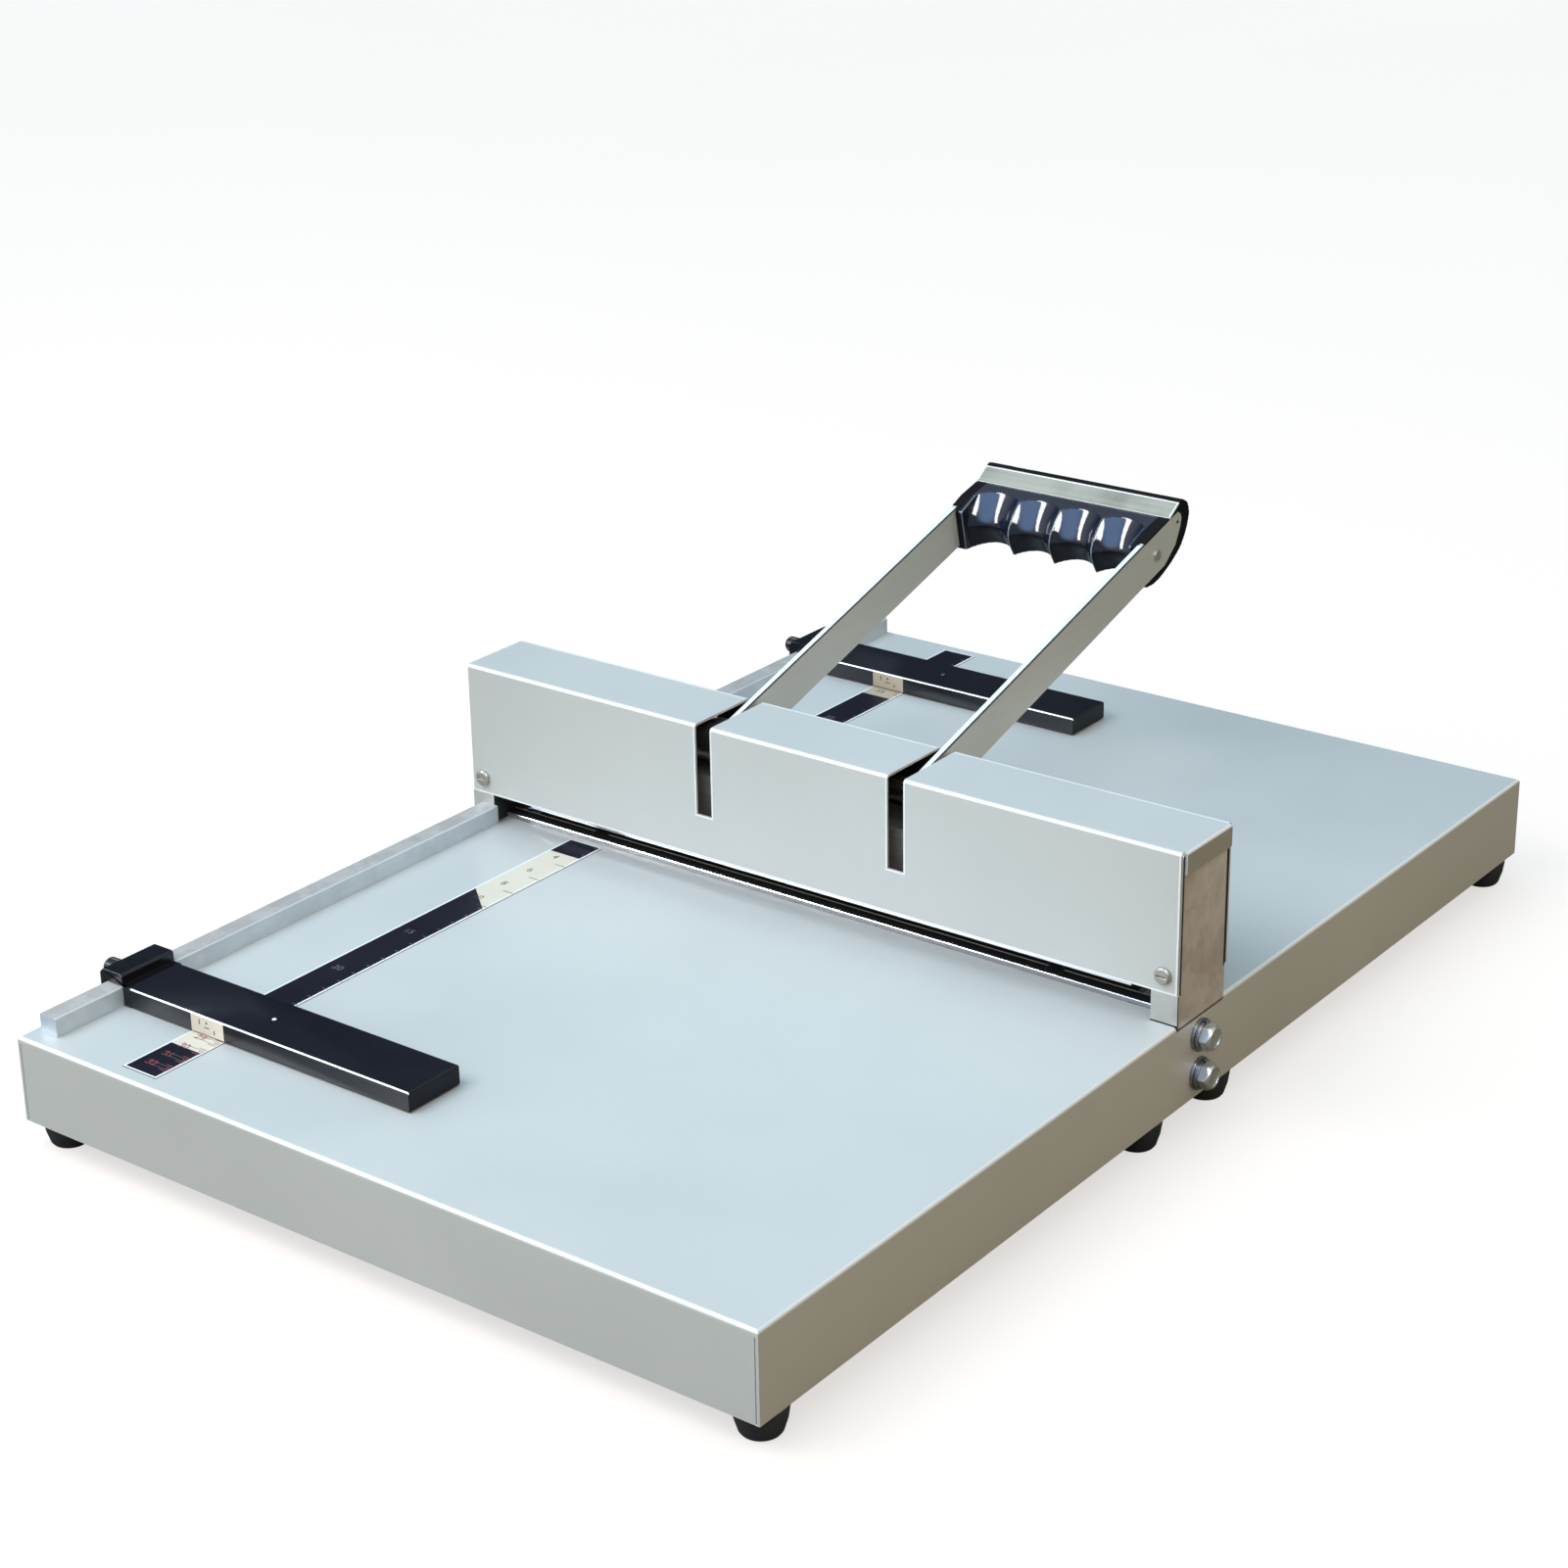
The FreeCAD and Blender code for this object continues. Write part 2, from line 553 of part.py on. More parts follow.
FOOT_NUTS = []
FOOT_SCREWS = []
for name, x, y in FOOT_PLACES:
    foot = body("foot_body_" + name)
    profile = outline(sketch(foot, "XZ", "section"), [
        ("foot_screw_radius + screw_clearance", "foot_recess_depth"),
        ("foot_recess_radius", "foot_recess_depth"),
        ("foot_recess_radius", "0"),
        ("foot_base_radius - 0.08 * foot_height", "0"),
        ("foot_base_radius", "0.1 * foot_height"),
        ("(foot_base_radius + foot_top_radius) / 2 + foot_bulge", "0.52 * foot_height"),
        ("foot_top_radius", "0.9 * foot_height"),
        ("foot_top_radius", "foot_height"),
        ("foot_screw_radius + screw_clearance", "foot_height"),
    ])
    revolve(foot, profile, "V_Axis")
    place(foot, x, y)
    node(foot, "foot_" + name)
    FOOT_SCREWS.append(fuse("foot_screw_" + name, [
        rod("foot_screw_head_" + name, "z", "foot_screw_head_radius",
            ("foot_recess_depth - foot_screw_head_height", "foot_recess_depth"), (x, y)),
        rod("foot_screw_shank_" + name, "z", "foot_screw_radius",
            ("foot_recess_depth - 1", "tray_z + tray_sheet + foot_nut_height + 1"), (x, y)),
    ]))
    FOOT_NUTS.append(cut("foot_nut_" + name, hexagon(
        "foot_nut_blank_" + name, "z", "foot_nut_flats",
        ("tray_z + tray_sheet", "tray_z + tray_sheet + foot_nut_height"), (x, y)), [
            rod("foot_nut_bore_" + name, "z", "foot_screw_radius + screw_clearance",
                ("tray_z", "tray_z + tray_sheet + foot_nut_height + 1"), (x, y))]))
node(group("foot_screw_group", FOOT_SCREWS), "foot_screws")
node(group("foot_nut_group", FOOT_NUTS), "foot_nuts")

# ---------------------------------------------------------------- bed beam and die
bed_cuts = []
for sign in (1, -1):
    side = "right" if sign > 0 else "left"
    for level in ("high", "low"):
        bed_cuts.append(rod("bed_bolt_hole_%s_%s" % (level, side), "x", "bolt_radius + screw_clearance",
                            span(sign, "half_width - bolt_length - 1", "frame_x + 1"),
                            ("bolt_y", "bolt_%s_z" % level)))
    bed_cuts.append(rod("bed_guide_hole_" + side, "z", "guide_stud_radius + screw_clearance",
                        ("table_z - guide_stud_length - 0.5", "table_z"), ("%d * spring_x" % sign, "0")))
for i, (x, y) in enumerate(DIE_SCREWS):
    bed_cuts.append(rod("bed_die_hole_%d" % i, "z", "die_screw_radius + screw_clearance",
                        ("die_z - die_screw_depth - 0.5", "table_z"), (x, y)))
bed_blank = box("bed_blank", ("-(frame_x)", "frame_x"), ("-bed_depth / 2", "bed_depth / 2"),
                ("bed_z", "sheet_z"))
node(cut("bed", bed_blank, bed_cuts), "bed_beam")

die = body("die")
groove = "die_groove_width / 2"
profile = outline(sketch(die, "YZ", "section"), [
    ("-die_depth / 2", "table_z"), ("die_depth / 2", "table_z"), ("die_depth / 2", "die_z"),
    (groove, "die_z"), (groove, "die_z - die_groove_depth"),
    ("-(%s)" % groove, "die_z - die_groove_depth"), ("-(%s)" % groove, "die_z"),
    ("-die_depth / 2", "die_z"),
])
pad(die, profile, "die_length", both=True)
soften(die, "die_edge_radius", lambda edge: along("x")(edge) and near(edge.BoundBox.ZMin, "die_z")
       and near(abs(edge.BoundBox.YMin), "die_depth / 2"))
die_cuts = []
for i, (x, y) in enumerate(DIE_SCREWS):
    die_cuts.append(rod("die_hole_%d" % i, "z", "die_screw_radius + screw_clearance",
                        ("table_z - 1", "die_z + 1"), (x, y)))
    die_cuts.append(cone("die_sink_%d" % i, "z",
                         ("die_screw_radius + screw_clearance", "die_screw_head_radius"),
                         ("die_z - die_screw_head_radius + die_screw_radius", "die_z"), (x, y)))
node(cut("die_drilled", die, die_cuts), "creasing_die")
node(group("die_screw_group", [
    fuse("die_screw_%d" % i, [
        cone("die_screw_head_%d" % i, "z", ("die_screw_radius", "die_screw_head_radius - screw_clearance"),
             ("die_z - die_screw_head_radius + die_screw_radius", "die_z - screw_clearance"), (x, y)),
        rod("die_screw_shank_%d" % i, "z", "die_screw_radius",
            ("die_z - die_screw_depth", "die_z - die_screw_head_radius + die_screw_radius"), (x, y)),
    ]) for i, (x, y) in enumerate(DIE_SCREWS)]), "die_screws")

# ---------------------------------------------------------------- side frames
for sign in (1, -1):
    side = "right" if sign > 0 else "left"
    frame = body("frame_body_" + side)
    inside_y = "-(cover_y - cover_sheet)"
    profile = outline(sketch(frame, "YZ", "web", "%d * frame_x" % sign), [
        ("frame_front_y", "bed_z"), ("frame_rear_y", "bed_z"), ("frame_rear_y", "cover_under_z"),
        (inside_y + " + cover_bend - cover_sheet", "cover_under_z"),
        (inside_y, "cover_under_z - cover_bend + cover_sheet"), (inside_y, "cover_z"),
        ("frame_front_y", "cover_z"),
    ])
    pad(frame, profile, "frame_thickness", reverse=sign < 0)
    profile = rectangle(sketch(frame, "YZ", "step", "%d * half_width" % sign),
                        ("frame_front_y - 1", "frame_rear_y + 1"), ("bed_z - 1", "frame_step_z"))
    pocket(frame, profile, "tray_sheet", reverse=sign < 0)
    profile = circle(sketch(frame, "YZ", "bore", "%d * frame_x" % sign), "0", "axis_z", "bush_radius")
    pocket(frame, profile, "bush_length", reverse=sign > 0)
    groove_y = "tongue_depth / 2 + slide_clearance"
    profile = rectangle(sketch(frame, "YZ", "guide", "%d * frame_x" % sign),
                        ("-(%s)" % groove_y, groove_y),
                        ("tongue_z - blade_travel - guide_overrun",
                         "tongue_z + tongue_height + guide_overrun"))
    pocket(frame, profile, "guide_depth", reverse=sign > 0)
    frame_cuts = [rod("frame_bolt_hole_%s_%s" % (level, side), "x", "bolt_radius + screw_clearance",
                      span(sign, "frame_x - 1", "half_width + 1"), ("bolt_y", "bolt_%s_z" % level))
                  for level in ("high", "low")]
    frame_cuts.append(rod("frame_screw_hole_front_" + side, "y", "cover_screw_radius + screw_clearance",
                          ("-(cover_y + 1)", "cover_screw_length - cover_y + 0.5"),
                          ("%d * (screw_x)" % sign, "screw_z")))
    frame_cuts.append(rod("frame_screw_hole_rear_" + side, "y", "cover_screw_radius + screw_clearance",
                          ("cover_y - cover_screw_length - 0.5", "cover_y + 1"),
                          ("%d * (screw_x)" % sign, "screw_z")))
    node(cut("frame_drilled_" + side, frame, frame_cuts), "side_frame_" + side)

    # bush with a flange against the frame's inner face
    bush = body("bush_body_" + side)
    profile = outline(sketch(bush, "XY", "section"), [
        ("%d * (frame_x - bush_flange_thickness)" % sign, "shaft_radius + running_clearance"),
        ("%d * (frame_x - bush_flange_thickness)" % sign, "bush_flange_radius"),
        ("%d * (frame_x)" % sign, "bush_flange_radius"),
        ("%d * (frame_x)" % sign, "bush_radius"),
        ("%d * (frame_x + bush_length)" % sign, "bush_radius"),
        ("%d * (frame_x + bush_length)" % sign, "shaft_radius + running_clearance"),
    ])
    revolve(bush, profile, "H_Axis")
    place(bush, z="axis_z")
    node(bush, "shaft_bush_" + side)

BOLTS = []
FLATS = []
SPLITS = []
for sign in (1, -1):
    side = "right" if sign > 0 else "left"
    for level in ("high", "low"):
        tag = level + "_" + side
        spot = ("bolt_y", "bolt_%s_z" % level)
        seat = "half_width + washer_thickness + spring_washer_thickness"
        head = span(sign, seat, seat + " + bolt_head_height")
        shank = span(sign, "half_width - bolt_length", seat + " + 1")
        BOLTS.append(fuse("bolt_" + tag, [
            hexagon("bolt_head_" + tag, "x", "bolt_flats", head, spot),
            rod("bolt_shank_" + tag, "x", "bolt_radius", shank, spot),
        ]))
        through = span(sign, "half_width - 1", seat + " + 1")
        flat_x = span(sign, "half_width", "half_width + washer_thickness")
        FLATS.append(cut("washer_" + tag, rod("washer_disc_" + tag, "x", "washer_radius", flat_x, spot), [
            rod("washer_bore_" + tag, "x", "bolt_radius + screw_clearance", through, spot),
        ]))
        split_x = span(sign, "half_width + washer_thickness", seat)
        split_disc = rod("spring_washer_disc_" + tag, "x", "spring_washer_radius", split_x, spot)
        SPLITS.append(cut("spring_washer_" + tag, split_disc, [
            rod("spring_washer_bore_" + tag, "x", "bolt_radius + screw_clearance", through, spot),
            box("spring_washer_cut_" + tag, through,
                ("bolt_y - spring_washer_split / 2", "bolt_y + spring_washer_split / 2"),
                ("bolt_%s_z" % level, "bolt_%s_z + spring_washer_radius + 1" % level)),
        ]))
node(group("bolt_group", BOLTS), "frame_bolts")
node(group("washer_group", FLATS), "frame_washers")
node(group("spring_washer_group", SPLITS), "frame_spring_washers")

# ---------------------------------------------------------------- head cover
cover_x = "half_width - cover_face_inset"
cover_blank = body("cover_blank")
profile = rectangle(sketch(cover_blank, "YZ", "section"), ("-(cover_y)", "cover_y"),
                    ("cover_z", "cover_top_z"))
pad(cover_blank, profile, "2 * (%s)" % cover_x, both=True)
soften(cover_blank, "cover_bend",
       lambda edge: along("x")(edge) and near(edge.BoundBox.ZMin, "cover_top_z"))
cover_hollow = body("cover_hollow")
wall_y = "cover_y - cover_sheet"
profile = rectangle(sketch(cover_hollow, "YZ", "section"), ("-(%s)" % wall_y, wall_y),
                    ("cover_z - 1", "cover_under_z"))
pad(cover_hollow, profile, "2 * half_width", both=True)
soften(cover_hollow, "cover_bend - cover_sheet",
       lambda edge: along("x")(edge) and near(edge.BoundBox.ZMin, "cover_under_z"))
shell = cut("cover_shell", cover_blank, [cover_hollow])
lips = []
for sign in (1, -1):
    side = "right" if sign > 0 else "left"
    lip_y = "cover_y - cover_bend - lip_relief"
    lip_blank = body("lip_blank_" + side)
    profile = rectangle(sketch(lip_blank, "XZ", "section"),
                        span(sign, cover_x + " - 1", "half_width + cover_sheet"),
                        ("cover_top_z - lip_drop", "cover_top_z"))
    pad(lip_blank, profile, "2 * (%s)" % lip_y, both=True)
    soften(lip_blank, "cover_bend",
           lambda edge: along("y")(edge) and near(edge.BoundBox.ZMin, "cover_top_z")
           and near(abs(edge.BoundBox.XMin), "half_width + cover_sheet"))
    lip_hollow = box("lip_hollow_" + side, span(sign, cover_x + " - 2", "half_width"),
                     ("-(cover_y)", "cover_y"), ("cover_top_z - lip_drop - 1", "cover_under_z"))
    lips.append(cut("lip_" + side, lip_blank, [lip_hollow]))
cover_cuts = []
for sign in (1, -1):
    side = "right" if sign > 0 else "left"
    slot_x = span(sign, "slot_centre - slot_width / 2", "slot_centre + slot_width / 2")
    cover_cuts.append(box("cover_slot_front_" + side, slot_x, ("-(cover_y + 1)", "0"),
                          ("cover_z + slot_sill", "cover_top_z + 1")))
    cover_cuts.append(box("cover_slot_rear_" + side, slot_x, ("-1", "cover_y + 1"),
                          ("slot_rear_z", "cover_top_z + 1")))
    for end, y in (("front", ("-(cover_y + 1)", "-(cover_y - cover_sheet - 1)")),
                   ("rear", ("cover_y - cover_sheet - 1", "cover_y + 1"))):
        spot = ("%d * (screw_x)" % sign, "screw_z")
        cover_cuts.append(rod("cover_screw_hole_%s_%s" % (end, side), "y",
                              "cover_screw_radius + screw_clearance", y, spot))
node(cut("cover_slotted", fuse("cover_whole", [shell] + lips), cover_cuts), "head_cover")

COVER_SCREWS = []
SPACERS = []
for sign in (1, -1):
    side = "right" if sign > 0 else "left"
    spot = ("%d * (screw_x)" % sign, "screw_z")
    for end, front in (("front", True), ("rear", False)):
        tag = end + "_" + side
        if front:
            head = ("-(cover_y + cover_screw_head_height)", "-(cover_y)")
            shank = ("-(cover_y + 1)", "cover_screw_length - cover_y")
            driver = ("-(cover_y + cover_screw_head_height + 1)",
                      "-(cover_y + cover_screw_head_height / 2)")
        else:
            head = ("cover_y", "cover_y + cover_screw_head_height")
            shank = ("cover_y - cover_screw_length", "cover_y + 1")
            driver = ("cover_y + cover_screw_head_height / 2", "cover_y + cover_screw_head_height + 1")
            spacer = rod("spacer_disc_" + side, "y", "spacer_radius",
                         ("frame_rear_y", "cover_y - cover_sheet"), spot)
            SPACERS.append(cut("spacer_" + side, spacer, [
                rod("spacer_bore_" + side, "y", "cover_screw_radius + screw_clearance",
                    ("frame_rear_y - 1", "cover_y"), spot),
            ]))
        radii = ["cover_screw_head_radius - 0.5 * cover_screw_head_height", "cover_screw_head_radius"]
        domed = cone("cover_screw_head_" + tag, "y", radii if front else radii[::-1], head, spot)
        blank = fuse("cover_screw_blank_" + tag, [
            domed,
            rod("cover_screw_shank_" + tag, "y", "cover_screw_radius", shank, spot),
        ])
        driver_x = (spot[0] + " - cover_screw_head_radius", spot[0] + " + cover_screw_head_radius")
        driver_z = ("screw_z - cover_screw_slot / 2", "screw_z + cover_screw_slot / 2")
        COVER_SCREWS.append(cut("cover_screw_" + tag, blank, [
            box("cover_screw_driver_" + tag, driver_x, driver, driver_z),
        ]))
node(group("cover_screw_group", COVER_SCREWS), "cover_screws")
node(group("spacer_group", SPACERS), "cover_spacers")

# ---------------------------------------------------------------- spring guides
for sign in (1, -1):
    side = "right" if sign > 0 else "left"
    spot = ("%d * (spring_x)" % sign, "0")
    node(fuse("guide_" + side, [
        rod("guide_pin_" + side, "z", "guide_pin_radius", ("table_z", "table_z + guide_pin_height"), spot),
        rod("guide_stud_" + side, "z", "guide_stud_radius",
            ("table_z - guide_stud_length", "table_z + 1"), spot),
    ]), "spring_guide_" + side)

# ---------------------------------------------------------------- rails and rulers
RAIL_SCREW_SOLIDS = []
for i, (end, y) in enumerate(RAIL_SCREWS):
    RAIL_SCREW_SOLIDS.append(fuse("rail_screw_%d" % i, [
        rod("rail_screw_head_%d" % i, "z", "rail_screw_head_radius",
            ("sheet_z - rail_screw_head_height", "sheet_z"), (RAIL_MIDDLE, y)),
        rod("rail_screw_shank_%d" % i, "z", "rail_screw_radius",
            ("sheet_z - 1", "sheet_z + rail_screw_length"), (RAIL_MIDDLE, y)),
    ]))
node(group("rail_screw_group", RAIL_SCREW_SOLIDS), "rail_screws")
for end in ("front", "rear"):
    rail = body("rail_body_" + end)
    y0, y1 = RAIL_ENDS[end]
    profile = rectangle(sketch(rail, "XY", "plan", "table_z"),
                        ("-(rail_x)", "rail_width - rail_x"), (y0, y1))
    pad(rail, profile, "rail_height")
    bevel(rail, "rail_edge",
          lambda edge: along("y")(edge) and near(edge.BoundBox.ZMin, "table_z + rail_height"))
    node(cut("rail_drilled_" + end, rail, [
        rod("rail_hole_%d" % i, "z", "rail_screw_radius + screw_clearance",
            ("table_z - 1", "sheet_z + rail_screw_length + 0.5"), (RAIL_MIDDLE, y))
        for i, (which, y) in enumerate(RAIL_SCREWS) if which == end]), "side_lay_rail_" + end)
    ruler_y = ("-(half_length - ruler_margin)", "-ruler_start") if end == "front" else (
        "ruler_start", "half_length - ruler_margin")
    node(box("ruler_strip_" + end, ("-(ruler_x)", "ruler_width - ruler_x"), ruler_y,
             ("table_z", "table_z + ruler_thickness")), "ruler_" + end)

# ---------------------------------------------------------------- shaft, arms and hubs
shaft_x = "frame_x + bush_length - shaft_end_gap"
node(rod("shaft", "x", "shaft_radius", ("-(%s)" % shaft_x, shaft_x), ("0", "axis_z")), "cam_shaft")

# The arm's outline lies in the handle's own plane: y along the arm, z across it.
# Its far end follows the grip's outline, one shell thickness inside it.
half = "arm_width / 2"
rivet_spot = ("grip_reach - 0.72 * grip_depth", "-0.04 * arm_width")
pin_hole_spot = ("grip_reach - 0.24 * grip_depth", "0.26 * arm_width")


def arm_outline(start):
    tip = "grip_reach - grip_shell"
    return [
        (start, "-(%s)" % half),
        (tip + " - 0.43 * grip_depth", "-(%s)" % half),
        (tip + " - 0.18 * grip_depth", "-0.26 * arm_width"),
        (tip + " - 0.05 * grip_depth", "0.05 * arm_width"),
        (tip, "0.24 * arm_width"),
        (tip, "0.38 * arm_width"),
        (tip + " - 0.05 * grip_depth", half),
        (start, half),
    ]


def tilt(thing):
    """Lay a piece drawn along the arm into its rest position."""
    thing.Placement = FreeCAD.Placement(V(0, 0, 0), FreeCAD.Rotation(V(1, 0, 0), 10))
    bind(thing, "Placement.Rotation.Angle", "handle_rest_angle")
    return place(thing, z="axis_z")


for sign in (1, -1):
    side = "right" if sign > 0 else "left"
    arm = body("arm_body_" + side)
    start = span(sign, "arm_x", "arm_out_x")[0]
    profile = circle(sketch(arm, "YZ", "eye", start), "0", "0", half)
    pad(arm, profile, "arm_thickness")
    profile = outline(sketch(arm, "YZ", "bar", start), arm_outline("0"))
    pad(arm, profile, "arm_thickness")
    profile = circle(sketch(arm, "YZ", "shaft_hole", start), "0", "0", "shaft_radius + shaft_fit")
    pocket(arm, profile, "arm_thickness", reverse=True)
    profile = circle(sketch(arm, "YZ", "rivet_hole", start), *rivet_spot, "grip_rivet_radius + shaft_fit")
    pocket(arm, profile, "arm_thickness", reverse=True)
    profile = circle(sketch(arm, "YZ", "pin_hole", start), *pin_hole_spot, "grip_pin_hole_radius")
    pocket(arm, profile, "arm_thickness", reverse=True)
    tilt(arm)
    node(arm, "handle_arm_" + side)

SET_SCREWS = []
for sign in (1, -1):
    side = "right" if sign > 0 else "left"
    hub_x = span(sign, "arm_out_x", "arm_out_x + hub_length")
    hub_mid = "%d * (arm_out_x + hub_length / 2)" % sign
    node(cut("hub_bored_" + side, rod("hub_blank_" + side, "x", "hub_radius", hub_x, ("0", "axis_z")), [
        rod("hub_bore_" + side, "x", "shaft_radius + shaft_fit",
            span(sign, "arm_out_x - 1", "arm_out_x + hub_length + 1"), ("0", "axis_z")),
        rod("hub_screw_hole_" + side, "z", "set_screw_radius + shaft_fit",
            ("axis_z", "axis_z + hub_radius + 1"), (hub_mid, "0")),
    ]), "arm_hub_" + side)
    SET_SCREWS.append(rod("hub_screw_" + side, "z", "set_screw_radius",
                          ("axis_z + shaft_radius", "axis_z + hub_radius - 0.6"), (hub_mid, "0")))

# ---------------------------------------------------------------- cams
# Each cam's distance from the axis to its tangent grows evenly with the handle's angle,
# so the blade goes down in a constant ratio; the rest of the outline closes smoothly.


def cam_wire(x):
    """The cam's outline at x, as drawn with the handle at rest."""
    swing = math.radians(size("handle_swing"))
    low = size("cam_base")
    rise = size("blade_travel")
    back = 2 * math.pi - swing
    points = []
    steps = 180
    for i in range(steps):
        turn = 2 * math.pi * i / steps
        if turn <= swing:
            height = low + rise * turn / swing
            slope = rise / swing
        else:
            part = (turn - swing) / back
            # a cubic that leaves and meets the rising flank with its slope
            lead = rise / swing * back
            height = low + rise * (1 + 2 * part) * (1 - part) ** 2 \
                + lead * (part * (1 - part) ** 2 - part ** 2 * (1 - part))
            slope = (rise * (-6 * part * (1 - part))
                     + lead * ((1 - part) * (1 - 3 * part) - part * (2 - 3 * part))) / back
        # the tangent at handle angle turn faces down, so in the cam it faces -90 degrees - turn
        face = -math.pi / 2 - turn
        outward = V(0, math.cos(face), math.sin(face))
        side = V(0, math.sin(face), -math.cos(face))
        points.append(V(x, 0, size("axis_z")) + outward * height + side * slope)
    curve = Part.BSplineCurve()
    curve.interpolate(points, PeriodicFlag=True)
    return Part.Wire([curve.toShape()])


for sign in (1, -1):
    side = "right" if sign > 0 else "left"
    low_x = size("%d * (cam_centre)" % sign) - size("cam_width") / 2
    disc = doc.addObject("Part::Feature", "cam_disc_" + side)
    disc.Shape = Part.Face(cam_wire(low_x)).extrude(V(size("cam_width"), 0, 0))
    boss_x = span(sign, "cam_centre + cam_width / 2", "cam_centre + cam_width / 2 + cam_boss_length")
    boss_mid = "%d * (cam_centre + cam_width / 2 + cam_boss_length / 2)" % sign
    node(cut("cam_bored_" + side, fuse("cam_blank_" + side, [
        disc, rod("cam_boss_" + side, "x", "cam_boss_radius", boss_x, ("0", "axis_z"))]), [
            rod("cam_bore_" + side, "x", "shaft_radius + shaft_fit",
                span(sign, "cam_centre - cam_width / 2 - 1",
                     "cam_centre + cam_width / 2 + cam_boss_length + 1"), ("0", "axis_z")),
            rod("cam_screw_hole_" + side, "z", "set_screw_radius + shaft_fit",
                ("axis_z", "axis_z + cam_boss_radius + 1"), (boss_mid, "0")),
        ]), "cam_" + side)
    SET_SCREWS.append(rod("cam_screw_" + side, "z", "set_screw_radius",
                          ("axis_z + shaft_radius", "axis_z + cam_boss_radius - 0.4"), (boss_mid, "0")))
node(group("set_screw_group", SET_SCREWS), "set_screws")

# ---------------------------------------------------------------- grip
# Section of the grip as shares of its depth behind the nose and of its height from the arm's
# middle line; the flat between the last two points carries the aluminium strip.
GRIP_SECTION = [
    (-1.000, -0.400), (-0.880, -0.468), (-0.717, -0.484), (-0.505, -0.435), (-0.242, -0.289),
    (-0.081, -0.065), (-0.004, 0.146), (0.000, 0.308), (-0.055, 0.450), (-0.130, 0.508),
]
# The deepest line of a finger groove from its upper end to its lower one, in the same shares.
GROOVE_FLOOR = [(-0.495, 0.420), (-0.780, -0.045), (-0.693, -0.510), (-0.645, -0.760)]


def grip_spot(shares, x=0.0):
    """A point of the grip's section at x, from its shares."""
    return V(x, size("grip_reach") + size("grip_depth") * shares[0], size("grip_height") * shares[1])


def grip_section(x):
    """The section's wire at x, with the two ends of the strip's seat."""
    spots = [grip_spot(shares, x) for shares in GRIP_SECTION]
    back = Part.BSplineCurve()
    back.interpolate(spots)
    angle = math.radians(size("strip_angle"))
    seat = grip_spot((-0.165, 0.488), x)
    foot = seat - V(0, math.cos(angle), math.sin(angle)) * size("strip_width")
    shoulder = grip_spot((-0.690, 0.405), x)
    entry = grip_spot((-0.965, 0.350), x)
    edges = [back.toShape(), Part.makeLine(spots[-1], seat), Part.makeLine(seat, foot),
             Part.makeLine(foot, shoulder), Part.makeLine(shoulder, entry), Part.makeLine(entry, spots[0])]
    return Part.Wire(edges), seat, foot


def groove_cutter(x):
    """What a finger groove takes away: an arc across the fingers that follows the groove's floor."""
    half_pitch = size("finger_pitch") / 2
    floor = [grip_spot(shares) for shares in GROOVE_FLOOR]
    depths = [size("groove_depth_top"), size("groove_depth_front"), size("groove_depth_foot")]
    depths.append(depths[-1])
    wires = []
    for i, spot in enumerate(floor):
        run = (floor[max(i - 1, 0)] - floor[min(i + 1, len(floor) - 1)]).normalize()
        out = V(0, -run.z, run.y)
        left = spot + V(x - half_pitch, 0, 0)
        right = spot + V(x + half_pitch, 0, 0)
        arc = Part.Arc(left + out * depths[i], spot + V(x, 0, 0), right + out * depths[i]).toShape()
        far = out * size("grip_depth")
        wires.append(Part.Wire([arc, Part.makeLine(right + out * depths[i], right + far),
                                Part.makeLine(right + far, left + far),
                                Part.makeLine(left + far, left + out * depths[i])]))
    return Part.makeLoft(wires, True, False)


# Cheeks at both ends hold the arms; between them the front is cut back to the finger grooves.
grip_end = size("arm_out_x + grip_overhang")
section, strip_top, strip_foot = grip_section(-grip_end)
grip_bar = Part.Face(section).extrude(V(2 * grip_end, 0, 0))
for count in (-1.5, -0.5, 0.5, 1.5):
    grip_bar = grip_bar.cut(groove_cutter(count * size("finger_pitch")))
grip_blank = doc.addObject("Part::Feature", "grip_blank")
grip_blank.Shape = grip_bar
tilt(grip_blank)

strip_up = (strip_top - strip_foot).normalize()
strip_out = V(0, -strip_up.z, strip_up.y)
sink = strip_out * -size("strip_sunk")
proud = strip_out * size("strip_proud")
strip_face = Part.Face(Part.makePolygon([strip_foot + sink, strip_top + sink, strip_top + proud,
                                         strip_foot + proud, strip_foot + sink]))
strip = doc.addObject("Part::Feature", "strip")
strip.Shape = strip_face.extrude(V(2 * grip_end, 0, 0))
tilt(strip)

RIVETS = []
for sign in (1, -1):
    side = "right" if sign > 0 else "left"
    rivet = body("grip_rivet_" + side)
    seat = "%d * (arm_out_x)" % sign
    profile = circle(sketch(rivet, "YZ", "head", seat), *rivet_spot, "grip_rivet_head_radius")
    pad(rivet, profile, "grip_rivet_head_height", reverse=sign < 0)
    soften(rivet, "0.6 * grip_rivet_head_height",
           lambda edge: near(abs(edge.BoundBox.XMax), "arm_out_x + grip_rivet_head_height")
           and near(abs(edge.BoundBox.XMin), "arm_out_x + grip_rivet_head_height"))
    profile = circle(sketch(rivet, "YZ", "shank", seat), *rivet_spot, "grip_rivet_radius")
    pad(rivet, profile, "grip_rivet_length", reverse=sign > 0)
    tilt(rivet)
    RIVETS.append(rivet)
node(group("grip_rivet_group", RIVETS), "grip_rivets")
rivet_clear = []
